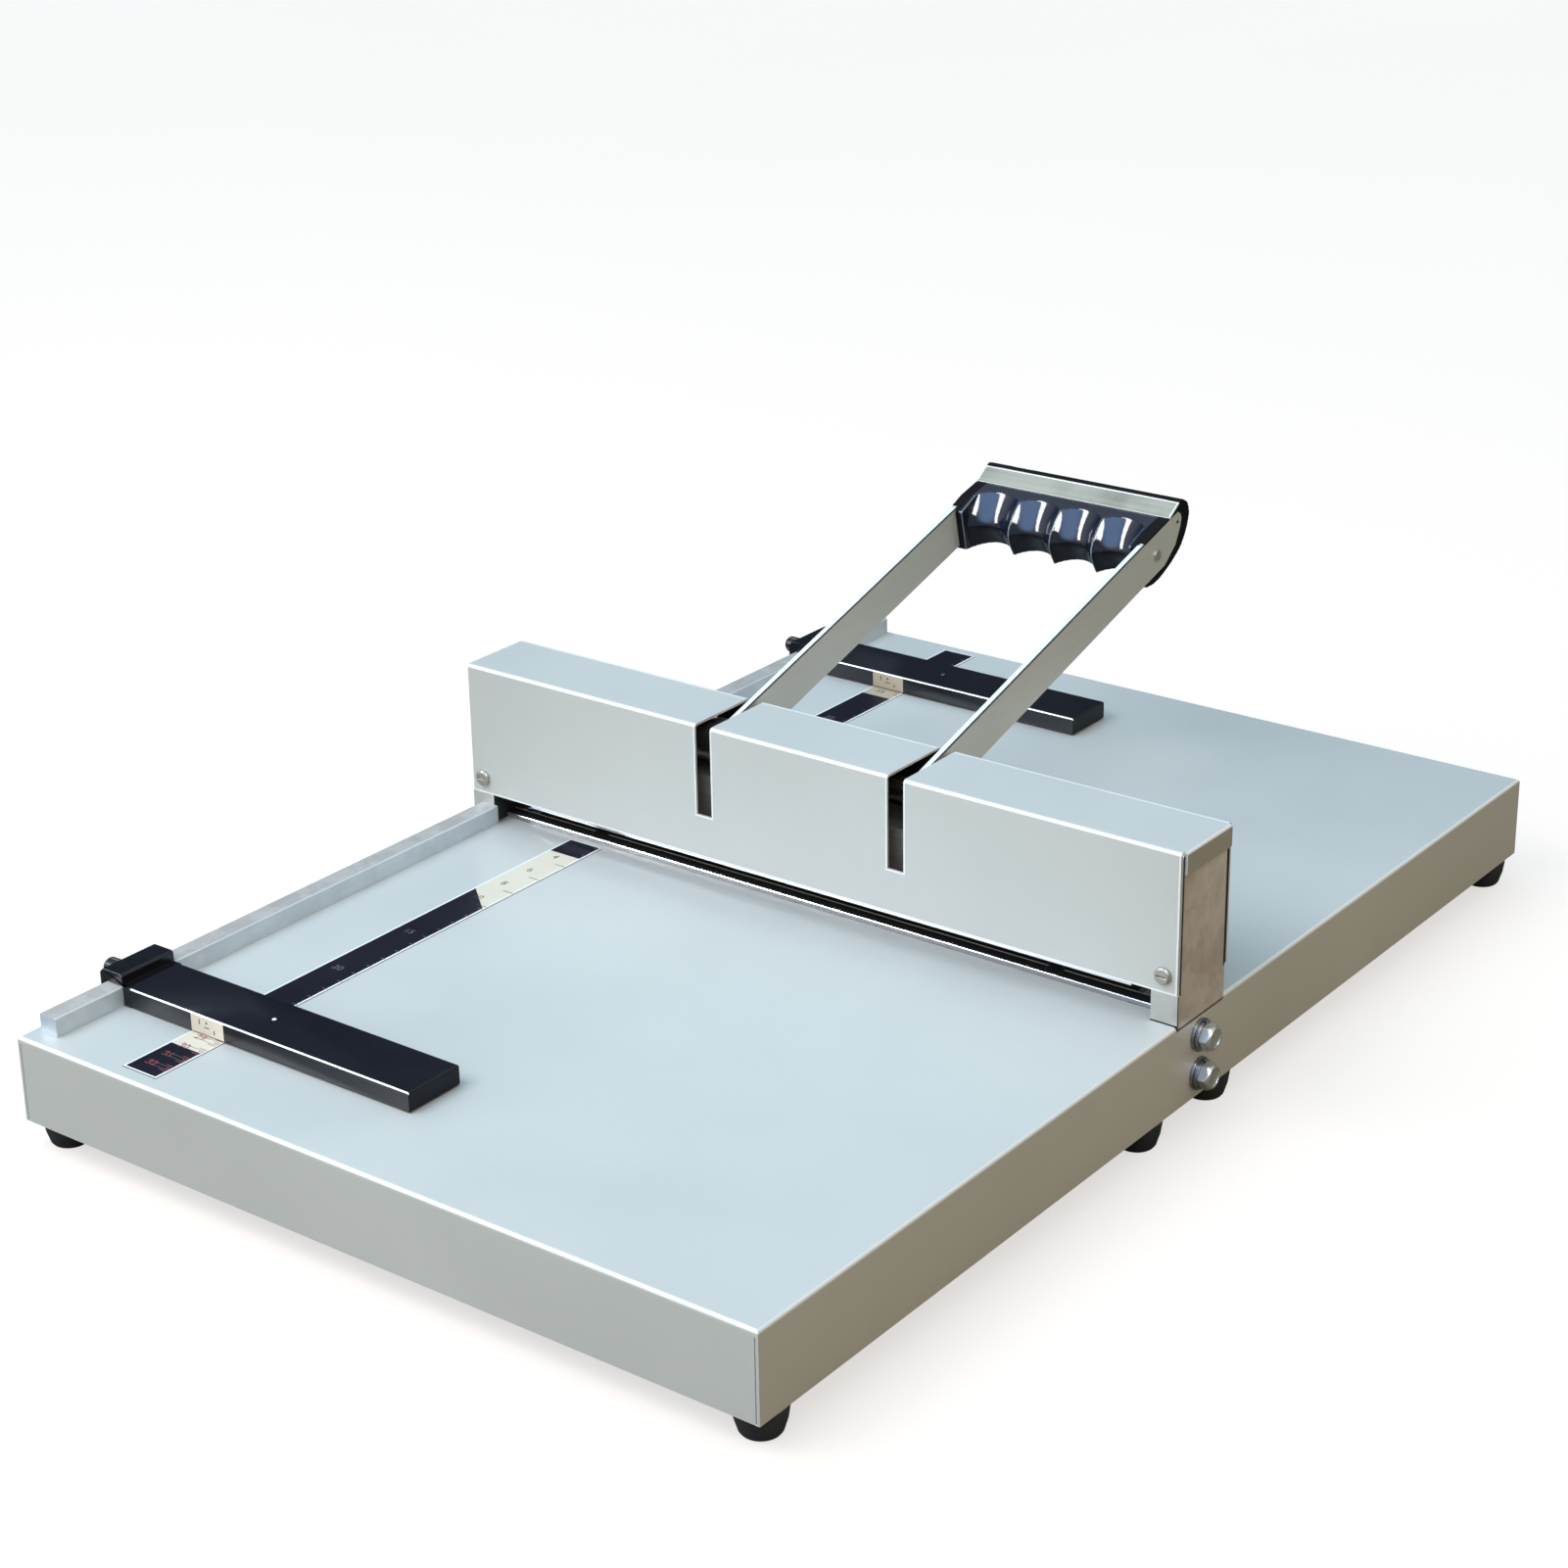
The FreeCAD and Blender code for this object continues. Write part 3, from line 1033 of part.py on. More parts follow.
for sign in (1, -1):
    side = "right" if sign > 0 else "left"
    bore = body("grip_bore_" + side)
    profile = circle(sketch(bore, "YZ", "bore", "%d * (arm_x)" % sign), *rivet_spot,
                     "grip_rivet_radius + shaft_fit")
    pad(bore, profile, "grip_rivet_length - arm_thickness + 0.5", reverse=sign > 0)
    tilt(bore)
    rivet_clear.append(bore)

# the arms' ends and the strip sit in recesses of the moulding
pockets = []
for sign in (1, -1):
    side = "right" if sign > 0 else "left"
    filler = body("arm_recess_" + side)
    start = span(sign, "arm_x", "arm_out_x + 1")[0]
    profile = outline(sketch(filler, "YZ", "bar", start), arm_outline("0.5 * grip_reach"))
    pad(filler, profile, "arm_thickness + 1")
    tilt(filler)
    pockets.append(filler)
node(cut("grip_cut", grip_blank, pockets + rivet_clear + [strip]), "grip_body")
node(strip, "grip_strip")

# ---------------------------------------------------------------- blade carrier
beam = body("beam_body")
slot = "blade_thickness / 2 + shaft_fit"
profile = rectangle(sketch(beam, "YZ", "section"), ("-beam_depth / 2", "beam_depth / 2"),
                    ("beam_z", "beam_top_z"))
pad(beam, profile, "die_length", both=True)
profile = rectangle(sketch(beam, "YZ", "tongue"), ("-tongue_depth / 2", "tongue_depth / 2"),
                    ("tongue_z", "tongue_z + tongue_height"))
pad(beam, profile, "2 * (frame_x + guide_depth - tongue_end_gap)", both=True)
profile = rectangle(sketch(beam, "YZ", "blade_slot"), ("-(%s)" % slot, slot),
                    ("beam_z - 1", "tip_z + blade_height"))
pocket(beam, profile, "die_length", both=True)
beam_cuts = []
BLADE_SCREWS = []
blade_cuts = []
for count in (-1, 1):
    for far in (0, 1):
        x = "%d * (blade_screw_x + %d * blade_screw_pitch)" % (count, far)
        tag = "%s_%d" % ("right" if count > 0 else "left", far)
        z = "beam_z + blade_screw_rise"
        seat = "blade_screw_head_height - beam_depth / 2"
        beam_cuts.append(rod("beam_screw_sink_" + tag, "y", "blade_screw_head_radius + screw_clearance",
                             ("-beam_depth / 2 - 1", seat), (x, z)))
        beam_cuts.append(rod("beam_screw_hole_" + tag, "y", "blade_screw_radius + screw_clearance",
                             ("-beam_depth / 2", seat + " + blade_screw_length + 0.5"), (x, z)))
        blade_cuts.append(rod("blade_hole_" + tag, "y", "blade_screw_radius + screw_clearance",
                              ("-blade_thickness", "blade_thickness"), (x, z)))
        blank = fuse("blade_screw_blank_" + tag, [
            rod("blade_screw_head_" + tag, "y", "blade_screw_head_radius",
                ("-beam_depth / 2", seat), (x, z)),
            rod("blade_screw_shank_" + tag, "y", "blade_screw_radius",
                (seat + " - 1", seat + " + blade_screw_length"), (x, z)),
        ])
        BLADE_SCREWS.append(cut("blade_screw_" + tag, blank, [
            hexagon("blade_screw_socket_" + tag, "y", "0.9 * blade_screw_head_radius",
                    ("-beam_depth / 2 - 1", seat + " - 0.4 * blade_screw_head_height"), (x, z)),
        ]))
for sign in (1, -1):
    side = "right" if sign > 0 else "left"
    pad_x = span(sign, "cam_centre - pad_length / 2", "cam_centre + pad_length / 2")
    pad_y = ("-pad_depth / 2", "pad_depth / 2")
    beam_cuts.append(box("pad_seat_" + side, pad_x, pad_y, ("beam_top_z - pad_seat", "beam_top_z + 1")))
    node(box("pad_" + side, pad_x, pad_y, ("beam_top_z - pad_seat", "pad_top_z")), "wear_pad_" + side)
node(cut("beam_drilled", beam, beam_cuts), "blade_beam")
node(group("blade_screw_group", BLADE_SCREWS), "blade_screws")

blade = body("blade_body")
profile = outline(sketch(blade, "YZ", "section"), [
    ("-blade_tip_width / 2", "tip_z"), ("blade_tip_width / 2", "tip_z"),
    ("blade_thickness / 2", "tip_z + blade_taper"), ("blade_thickness / 2", "tip_z + blade_height"),
    ("-blade_thickness / 2", "tip_z + blade_height"), ("-blade_thickness / 2", "tip_z + blade_taper"),
])
pad(blade, profile, "die_length - 2 * blade_end_inset", both=True)
node(cut("blade_drilled", blade, blade_cuts), "creasing_blade")

# ---------------------------------------------------------------- return springs
for sign in (1, -1):
    side = "right" if sign > 0 else "left"
    wire = size("spring_wire")
    low = size("table_z + spring_end_gap") + wire / 2
    high = size("tongue_z - spring_end_gap") - wire / 2
    helix = Part.makeHelix((high - low) / size("spring_turns"), high - low, size("spring_radius"))
    start = V(size("spring_radius"), 0, 0)
    ring = Part.Wire([Part.Circle(start, V(0, 1, 0), wire / 2).toShape()])
    coil = Part.Wire(helix.Edges).makePipeShell([ring], True, True)
    spring = doc.addObject("Part::Feature", "spring_" + side)
    spring.Shape = coil
    spring.Placement = FreeCAD.Placement(V(size("%d * (spring_x)" % sign), 0, low), FreeCAD.Rotation())
    node(spring, "return_spring_" + side)

# ---------------------------------------------------------------- paper stops
for end, way in (("front", -1), ("rear", 1)):
    middle = "%d * (stop_rest)" % way
    block = body("block_body_" + end)
    profile = outline(sketch(block, "XZ", "section"), [
        ("-(block_x)", "table_z + stop_gap"),
        ("-(rail_x + stop_gap)", "table_z + stop_gap"),
        ("-(rail_x + stop_gap)", "table_z + rail_height + stop_gap"),
        ("rail_width - rail_x + stop_gap", "table_z + rail_height + stop_gap"),
        ("rail_width - rail_x + stop_gap", "table_z + stop_gap"),
        ("-(block_in_x)", "table_z + stop_gap"),
        ("-(block_in_x)", "stop_top_z"),
        ("-(block_in_x + shoulder_run)", "table_z + block_height"),
        ("block_corner - block_x", "table_z + block_height"),
        ("-(block_x)", "table_z + block_height - block_corner"),
    ])
    pad(block, profile, "stop_width", both=True)
    place(block, y=middle)
    node(cut("block_drilled_" + end, block, [
        rod("block_stud_hole_" + end, "x", "stud_radius + stop_gap", ("-(block_x + 1)", "-(rail_x)"),
            (middle, "knob_z"))]), end + "_stop_block")

    bar = body("bar_body_" + end)
    profile = rectangle(sketch(bar, "XY", "plan", "stop_z"),
                        ("-(block_in_x)", "stop_bar_length - block_in_x"),
                        ("-stop_width / 2", "stop_width / 2"))
    pad(bar, profile, "stop_top_z - stop_z")
    bevel(bar, "stop_edge", lambda edge: (along("x")(edge) or (
        along("y")(edge) and near(edge.BoundBox.XMax, "stop_bar_length - block_in_x")))
        and near(edge.BoundBox.ZMin, "stop_top_z"))
    place(bar, y=middle)
    rivet_x = "rivet_offset - block_in_x"
    node(cut("bar_drilled_" + end, bar, [
        rod("bar_rivet_hole_" + end, "z", "0.7 * rivet_radius + shaft_fit",
            ("stop_top_z - rivet_length - 0.3", "stop_top_z + 1"), (rivet_x, middle))]), end + "_stop_bar")
    node(fuse("stop_rivet_" + end, [
        rod("stop_rivet_shank_" + end, "z", "0.7 * rivet_radius",
            ("stop_top_z - rivet_length", "stop_top_z + 0.1"), (rivet_x, middle)),
        cone("stop_rivet_dome_" + end, "z", ("rivet_radius", "0.6 * rivet_radius"),
             ("stop_top_z", "stop_top_z + rivet_dome"), (rivet_x, middle)),
    ]), end + "_stop_rivet")

    knob = body("knob_body_" + end)
    outer = "-(block_x + stop_gap)"
    profile = outline(sketch(knob, "XY", "section"), [
        ("-(rail_x + stop_gap)", "0"),
        ("-(rail_x + stop_gap)", "stud_radius"),
        (outer, "stud_radius"),
        (outer, "0.8 * knob_radius"),
        (outer + " - 0.06 * knob_length", "knob_radius"),
        (outer + " - knob_length + knob_rim", "knob_radius"),
        (outer + " - knob_length + knob_rim", "0.84 * knob_radius"),
        (outer + " - knob_length + 0.3 * knob_rim", "0.84 * knob_radius"),
        (outer + " - knob_length", "0.7 * knob_radius"),
        (outer + " - knob_length", "0"),
    ])
    revolve(knob, profile, "H_Axis")
    place(knob, y=middle, z="knob_z")
    node(knob, end + "_stop_knob")

# ---------------------------------------------------------------- build, check and write
doc.recompute()
faults = [thing.Label for thing in doc.Objects if "Invalid" in thing.State or "Error" in thing.State]
for thing in NODES:
    if thing.Shape.isNull() or not thing.Shape.isValid() or not thing.Shape.Solids:
        faults.append(thing.Label + " has no valid shape")
if faults:
    raise RuntimeError("; ".join(faults))
os.makedirs("parts", exist_ok=True)
for thing in NODES:
    thing.Shape.exportStep("parts/" + thing.Label + ".step")
    print("%-24s %2d solids %12.1f mm3" % (thing.Label, len(thing.Shape.Solids), thing.Shape.Volume))
print(len(NODES), "nodes")
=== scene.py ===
# %% [markdown]
# # A desktop paper creasing machine
# A folded steel tray is the table. A head stands across it: two thick side frames under a folded cover,
# with a blade beam inside. A handle with two flat arms turns two cams, and they press the blade into a
# grooved die. Two black stops slide along rails on the left edge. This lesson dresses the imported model.
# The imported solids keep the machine's sizes and joints, and each piece made here sits where its solid sits.

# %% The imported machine
import math
from contextlib import contextmanager

import bpy
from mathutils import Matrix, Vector


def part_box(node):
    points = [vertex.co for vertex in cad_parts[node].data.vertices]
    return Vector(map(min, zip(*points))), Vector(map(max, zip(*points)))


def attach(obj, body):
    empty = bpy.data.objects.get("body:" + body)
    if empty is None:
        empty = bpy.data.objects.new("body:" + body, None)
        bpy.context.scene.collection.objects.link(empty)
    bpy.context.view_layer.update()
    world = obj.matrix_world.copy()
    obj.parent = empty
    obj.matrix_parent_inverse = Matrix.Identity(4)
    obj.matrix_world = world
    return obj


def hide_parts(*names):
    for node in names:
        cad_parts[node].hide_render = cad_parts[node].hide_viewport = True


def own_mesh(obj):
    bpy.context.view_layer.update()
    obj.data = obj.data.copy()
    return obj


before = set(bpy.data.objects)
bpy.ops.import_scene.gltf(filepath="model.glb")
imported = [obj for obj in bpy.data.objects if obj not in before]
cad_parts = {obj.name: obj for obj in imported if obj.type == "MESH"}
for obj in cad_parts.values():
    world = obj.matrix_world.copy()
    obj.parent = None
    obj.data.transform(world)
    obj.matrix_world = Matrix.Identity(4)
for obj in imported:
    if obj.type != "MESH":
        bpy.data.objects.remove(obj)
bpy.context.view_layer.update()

MM = 0.001

# %% [markdown]
# ## Bench tools
# Modelling by operator means three habits: deselect everything, choose faces or edges by their place or
# direction, then run the operator. These small helpers keep the habits short. Lengths are in millimetres,
# because the machine's drawing is, and turn into metres on the way in.

# %% Deselect, and add a first shape


def start():
    """Leave edit mode and select nothing."""
    if bpy.context.object and bpy.context.object.mode != "OBJECT":
        bpy.ops.object.mode_set(mode="OBJECT")
    bpy.ops.object.select_all(action="DESELECT")


def only(thing):
    """Select one object and nothing else."""
    start()
    thing.select_set(True)
    bpy.context.view_layer.objects.active = thing


def settle(thing):
    """Put an object's place, turn and scale into its mesh."""
    only(thing)
    bpy.ops.object.transform_apply(location=True, rotation=True, scale=True)
    return thing


def fresh(name, scale=None):
    """Name the object just added, scale it and settle it."""
    thing = bpy.context.object
    thing.name = name
    if scale:
        thing.scale = scale
    return settle(thing)


def block(name, low, high):
    """A cube stretched between two corners, to be shaped further."""
    start()
    middle = [(a + b) / 2 * MM for a, b in zip(low, high)]
    size = [(b - a) * MM for a, b in zip(low, high)]
    bpy.ops.mesh.primitive_cube_add(size=1, location=middle, scale=size)
    return fresh(name)


def sheet(name, middle, wide, tall, upright=False):
    """A bare rectangle, lying flat or facing the front."""
    start()
    turn = (math.pi / 2 if upright else 0, 0, 0)
    bpy.ops.mesh.primitive_plane_add(size=1, location=[v * MM for v in middle], rotation=turn)
    return fresh(name, (wide * MM, tall * MM, 1))


TURN = {"x": (0, math.pi / 2, 0), "y": (math.pi / 2, 0, 0), "z": (0, 0, 0)}


def rod(name, axis, radius, low, high, at, sides=48, ends="NGON"):
    """A cylinder along one axis; at gives its two other coordinates in order."""
    start()
    spot = list(at)
    spot.insert("xyz".index(axis), (low + high) / 2)
    bpy.ops.mesh.primitive_cylinder_add(
        vertices=sides, radius=radius * MM, depth=abs(high - low) * MM, end_fill_type=ends,
        location=[v * MM for v in spot], rotation=TURN[axis])
    return fresh(name)


# %% Choose by place or direction


@contextmanager
def chosen(thing, kind, test):
    """Open a piece with the faces, edges or points chosen that pass a test in millimetres."""
    only(thing)
    mesh = thing.data
    spots = [v.co / MM for v in mesh.vertices]
    places = {"points": [(spot,) for spot in spots],
              "edges": [[spots[i] for i in edge.vertices] for edge in mesh.edges],
              "faces": [(face.center / MM, face.normal) for face in mesh.polygons]}
    picked = {one: [one == kind and bool(test(*place)) for place in places[one]] for one in places}
    for layer, marks in zip((mesh.vertices, mesh.edges, mesh.polygons), picked.values()):
        layer.foreach_set("select", marks)
    bpy.context.tool_settings.mesh_select_mode = [kind == one for one in picked]
    bpy.ops.object.mode_set(mode="EDIT")
    if not any(picked[kind]):
        print("nothing chosen on", thing.name)
    yield
    bpy.ops.object.mode_set(mode="OBJECT")


@contextmanager
def all_chosen(thing):
    """Open a piece with everything chosen."""
    only(thing)
    bpy.ops.object.mode_set(mode="EDIT")
    bpy.ops.mesh.select_all(action="SELECT")
    yield
    bpy.ops.object.mode_set(mode="OBJECT")


def same(a, b, slack=0.02):
    return abs(a - b) < slack


# %% Cut, pull, grow and round what is chosen


def saw(thing, axis, *places):
    """Cut new edges straight through a piece at places along one axis."""
    for place in places:
        spot = [0.0, 0.0, 0.0]
        way = [0.0, 0.0, 0.0]
        spot["xyz".index(axis)] = place * MM
        way["xyz".index(axis)] = 1.0
        with all_chosen(thing):
            bpy.ops.mesh.bisect(plane_co=spot, plane_no=way)


def remove(thing, test):
    """Delete the faces that pass the test."""
    with chosen(thing, "faces", test):
        bpy.ops.mesh.delete(type="FACE")


def pull(x, y, z):
    bpy.ops.mesh.extrude_region_move(TRANSFORM_OT_translate={"value": (x * MM, y * MM, z * MM)})


def grow(shares, middle):
    bpy.ops.transform.resize(value=shares, center_override=[v * MM for v in middle])


def inset(width):
    bpy.ops.mesh.inset(thickness=width * MM)


def round_off(width, segments=4):
    bpy.ops.mesh.bevel(offset=width * MM, segments=segments, affect="EDGES", profile=0.5)


# %% Modifiers, smoothing and copies


def finish_with(thing, kind, **settings):
    """Add a modifier and apply it at once."""
    only(thing)
    step = thing.modifiers.new(kind.title(), kind)
    for key, value in settings.items():
        setattr(step, key, value)
    bpy.ops.object.modifier_apply(modifier=step.name)


def ease(thing, width, segments=2, angle=40):
    """Round the sharp edges by a width and let the flat faces keep flat shading."""
    if width:
        finish_with(thing, "BEVEL", width=width * MM, segments=segments, limit_method="ANGLE",
                    angle_limit=math.radians(angle), use_clamp_overlap=True)
    only(thing)
    bpy.ops.object.shade_smooth_by_angle(angle=math.radians(angle))
    finish_with(thing, "WEIGHTED_NORMAL", weight=80, keep_sharp=True)
    return thing


def thicken(thing, thickness):
    """Give folded sheet its wall, inwards from the drawn face."""
    finish_with(thing, "SOLIDIFY", thickness=thickness * MM, offset=-1, use_even_offset=True,
                use_quality_normals=True)


def outward(thing):
    """Merge doubles and turn all faces outwards."""
    with all_chosen(thing):
        bpy.ops.mesh.remove_doubles(threshold=1e-6)
        bpy.ops.mesh.normals_make_consistent(inside=False)


def again(thing, name, move=(0, 0, 0), flip=(1, 1, 1)):
    """A copy with a mesh of its own, moved in millimetres or flipped through the origin."""
    twin = thing.copy()
    twin.data = thing.data.copy()
    twin.name = name
    bpy.context.scene.collection.objects.link(twin)
    only(twin)
    twin.scale = flip
    twin.location = [v * MM for v in move]
    settle(twin)
    if flip[0] * flip[1] * flip[2] < 0:
        with all_chosen(twin):
            bpy.ops.mesh.normals_make_consistent(inside=False)
    return twin


def join(name, things):
    only(things[0])
    for thing in things[1:]:
        thing.select_set(True)
    bpy.ops.object.join()
    whole = bpy.context.object
    whole.name = name
    return whole


def cut_with(thing, tool, how="DIFFERENCE"):
    """A boolean with a second shape, which is thrown away after."""
    finish_with(thing, "BOOLEAN", operation=how, object=tool, solver="EXACT")
    bpy.data.objects.remove(tool)


def traced(name, node, width, segments=2):
    """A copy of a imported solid, its triangles merged into plain faces and its edges eased."""
    thing = bpy.data.objects.new(name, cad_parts[node].data.copy())
    bpy.context.scene.collection.objects.link(thing)
    thing.data.materials.clear()
    only(thing)
    bpy.ops.mesh.customdata_custom_splitnormals_clear()
    with all_chosen(thing):
        bpy.ops.mesh.remove_doubles(threshold=1e-6)
        bpy.ops.mesh.dissolve_limited(angle_limit=math.radians(0.6))
    return ease(thing, width, segments, 35)


# %% [markdown]
# ## Camera
# The machine stands turned by 38 degrees and is seen from above its front right corner with a short
# telephoto lens, so its long edges hardly run together. The small shift frames it as on a sales sheet.

# %% Camera
start()
bpy.ops.object.camera_add(
    location=(0.87082549, -1.17753871, 0.72819333),
    rotation=[math.radians(a) for a in (68.20450366773208, 1.2622821598718523, 37.793615424922194)])
camera = bpy.context.object
camera.name = "camera"
camera.data.lens = 73.90694951
camera.data.sensor_width = 36
camera.data.shift_x, camera.data.shift_y = 0.03491251, -0.02740187
camera.data.clip_start, camera.data.clip_end = 0.05, 60
bpy.context.scene.camera = camera

# %% [markdown]
# ## Floor and light
# A white room with one softbox is what a painted machine needs. The room is the world's own gradient: cool
# overhead, neutral in front, dim and warm on the right, so each face of the folded sheet gets its own tone.
# What shiny parts mirror is a second gradient: a dark far wall, a pale ceiling and a blue patch in front.

# %% Floor
start()
bpy.ops.mesh.primitive_circle_add(vertices=96, radius=14, fill_type="NGON", location=(0, 0, 0))
floor = bpy.context.object
floor.name = "floor"

# %% Small node helpers


def add(tree, kind, spot=(0, 0), inputs=None, **settings):
    """Place one node and fill its sockets with numbers, colours or links."""
    made = tree.nodes.new(kind if kind.startswith("Node") else "ShaderNode" + kind)
    made.location = (spot[0] * 200, spot[1] * 180)
    for key, value in settings.items():
        setattr(made, key, value)
    for key, value in (inputs or {}).items():
        if isinstance(value, bpy.types.NodeSocket):
            tree.links.new(value, made.inputs[key])
        else:
            made.inputs[key].default_value = value
    return made


def math_node(tree, what, a, b=0.0, spot=(0, 0)):
    return add(tree, "Math", spot, {0: a, 1: b}, operation=what).outputs[0]


def times(tree, a, b, spot=(0, 0)):
    return math_node(tree, "MULTIPLY", a, b, spot)


def blend_colour(tree, share, a, b, spot=(0, 0)):
    """Go from colour a to colour b by a share."""
    return add(tree, "Mix", spot, {0: share, 6: a, 7: b}, data_type="RGBA").outputs[2]


def stretch(tree, value, low, high, to_low=0.0, to_high=1.0, spot=(0, 0)):
    """Spread a narrow range of a value over a wider one, softly at both ends."""
    return add(tree, "MapRange", spot, {0: value, 1: low, 2: high, 3: to_low, 4: to_high},
               interpolation_type="SMOOTHSTEP").outputs[0]


def colour(red, green, blue):
    return (red, green, blue, 1.0)


# %% Room light
COOL_TOP = colour(0.545, 0.91, 1.19)
FAR_WALL, FRONT_WALL = colour(0.34, 0.35, 0.36), colour(1.05, 0.985, 0.905)
WARM_RIGHT = colour(0.62, 0.44, 0.21)
room = bpy.data.worlds.new("white_room")
bpy.context.scene.world = room
room.use_nodes = True
tree = room.node_tree
tree.nodes.clear()
where = add(tree, "TexCoord", (-6, 0)).outputs["Generated"]
parts = add(tree, "SeparateXYZ", (-5, 0), {0: where})
front = stretch(tree, parts.outputs["Y"], 0.30, -0.45, spot=(-4, -1))
right = stretch(tree, parts.outputs["X"], 0.02, 0.62, spot=(-4, -3))
lowered = math_node(tree, "SUBTRACT", parts.outputs["Z"], times(tree, right, 0.5, (-4, 2)), (-3, 1))
height = stretch(tree, lowered, 0.12, 0.80, spot=(-2, 1))
walls = blend_colour(tree, front, FAR_WALL, FRONT_WALL, (-2, -1))
walls = blend_colour(tree, right, walls, WARM_RIGHT, (-1, -2))
light_room = blend_colour(tree, height, walls, COOL_TOP, (0, 0))

# %% What gloss mirrors
DARK_FAR, PALE_NEAR = colour(0.05, 0.055, 0.065), colour(0.85, 0.88, 0.90)
TAN_RIGHT, PALE_CEILING = colour(0.40, 0.35, 0.27), colour(0.95, 1.05, 1.10)
BLUE_PATCH = colour(1.75, 2.65, 4.6)
ceiling = stretch(tree, parts.outputs["Z"], 0.44, 0.95, spot=(-2, 5))
near = stretch(tree, parts.outputs["Y"], 0.10, -0.50, spot=(-2, 7))
mirror = blend_colour(tree, near, DARK_FAR, PALE_NEAR, (-1, 6))
mirror = blend_colour(tree, right, mirror, TAN_RIGHT, (-1, 5))
mirror = blend_colour(tree, ceiling, mirror, PALE_CEILING, (0, 5))


def compass(azimuth, elevation):
    """A direction from degrees; azimuth 0 is straight in front, 90 the right."""
    a, e = math.radians(azimuth), math.radians(elevation)
    return Vector((math.sin(a) * math.cos(e), -math.cos(a) * math.cos(e), math.sin(e)))


facing = add(tree, "VectorMath", (-3, 9), {0: where, 1: compass(8, 42)}, operation="DOT_PRODUCT")
patch = stretch(tree, facing.outputs["Value"], 0.75, 0.985, spot=(-1, 9))
mirror = blend_colour(tree, patch, mirror, BLUE_PATCH, (1, 6))

# %% Join the rooms
path = add(tree, "LightPath", (0, 2))
lamp = add(tree, "Background", (1, 0), {"Color": light_room, "Strength": 1.0})
gloss = add(tree, "Background", (1, 3), {"Color": mirror, "Strength": 1.0})
plain = add(tree, "Background", (1, -2), {"Color": colour(1.0, 1.0, 1.0), "Strength": 1.0})
both = add(tree, "MixShader", (2, 1), {0: path.outputs["Is Glossy Ray"], 1: lamp.outputs[0],
                                       2: gloss.outputs[0]})
both = add(tree, "MixShader", (3, 0), {0: path.outputs["Is Camera Ray"], 1: both.outputs[0],
                                       2: plain.outputs[0]})
add(tree, "OutputWorld", (4, 0), {0: both.outputs[0]})
bpy.context.scene.view_settings.view_transform = "Standard"

# %% [markdown]
# The softbox hangs in front on the left, so the table's light falls off towards the back. Black gloss shows
# nothing but what it mirrors, and photographers stand narrow light boxes beside it for that alone. Those
# two are seen only in reflections.

# %% Lamps


def light_box(name, target, direction, distance, width, tall, power, only_gloss=True):
    """A light box aimed at a target in millimetres, some metres away from it."""
    start()
    away = compass(*direction)
    bpy.ops.object.light_add(type="AREA", location=Vector(target) * MM + away * distance)
    lamp = bpy.context.object
    lamp.name = name
    lamp.data.shape = "RECTANGLE"
    lamp.data.size, lamp.data.size_y = width, tall
    lamp.data.energy = power
    lamp.rotation_euler = (-away).to_track_quat("-Z", "Y").to_euler()
    lamp.visible_diffuse = not only_gloss
    lamp.visible_glossy = only_gloss
    lamp.visible_transmission = False
    lamp.visible_volume_scatter = False


GRIP_SPOT = (0, 213, 197)
light_box("softbox", (0, -170, 57), (-31, 54), 1.98, 1.3, 1.3, 22.0, only_gloss=False)
light_box("left_gloss_strip", GRIP_SPOT, (-40, 34), 2.0, 0.44, 1.5, 40.0)
light_box("right_gloss_strip", GRIP_SPOT, (57, 46), 2.0, 0.52, 1.4, 46.0)

# %% [markdown]
# ## Finishes: shared effects
# Real coats and metals are never one flat colour. Four effects are built once as node groups and placed in
# each material with its own numbers: a painted highlight along folds, soft clouds of tone, a fine grain,
# and drawn or ground streaks. Each gives a mask or a height, and the material decides what to do with it.

# %% A new effect group


def effect(name, inputs, outputs):
    """A new node group: its tree, its inputs and its outputs. An input without a number is a vector."""
    tree = bpy.data.node_groups.new(name, "ShaderNodeTree")
    for label, value in inputs.items():
        kind = "NodeSocketVector" if value is None else "NodeSocketFloat"
        socket = tree.interface.new_socket(name=label, in_out="INPUT", socket_type=kind)
        if value is not None:
            socket.default_value = value
    for label in outputs:
        tree.interface.new_socket(name=label, in_out="OUTPUT", socket_type="NodeSocketFloat")
    return tree, add(tree, "NodeGroupInput", (-5, 0)).outputs, add(tree, "NodeGroupOutput", (4, 0)).inputs


def use(tree, group, spot=(0, 0), **inputs):
    """Place an effect in a material."""
    sockets = {key.capitalize(): value for key, value in inputs.items()}
    return add(tree, "Group", spot, sockets, node_tree=group)


def noise(tree, place, scale, detail, roughness=0.5, distortion=0.0, spot=(0, 0)):
    return add(tree, "TexNoise", spot, {"Vector": place, "Scale": scale, "Detail": detail,
                                        "Roughness": roughness, "Distortion": distortion}).outputs[0]
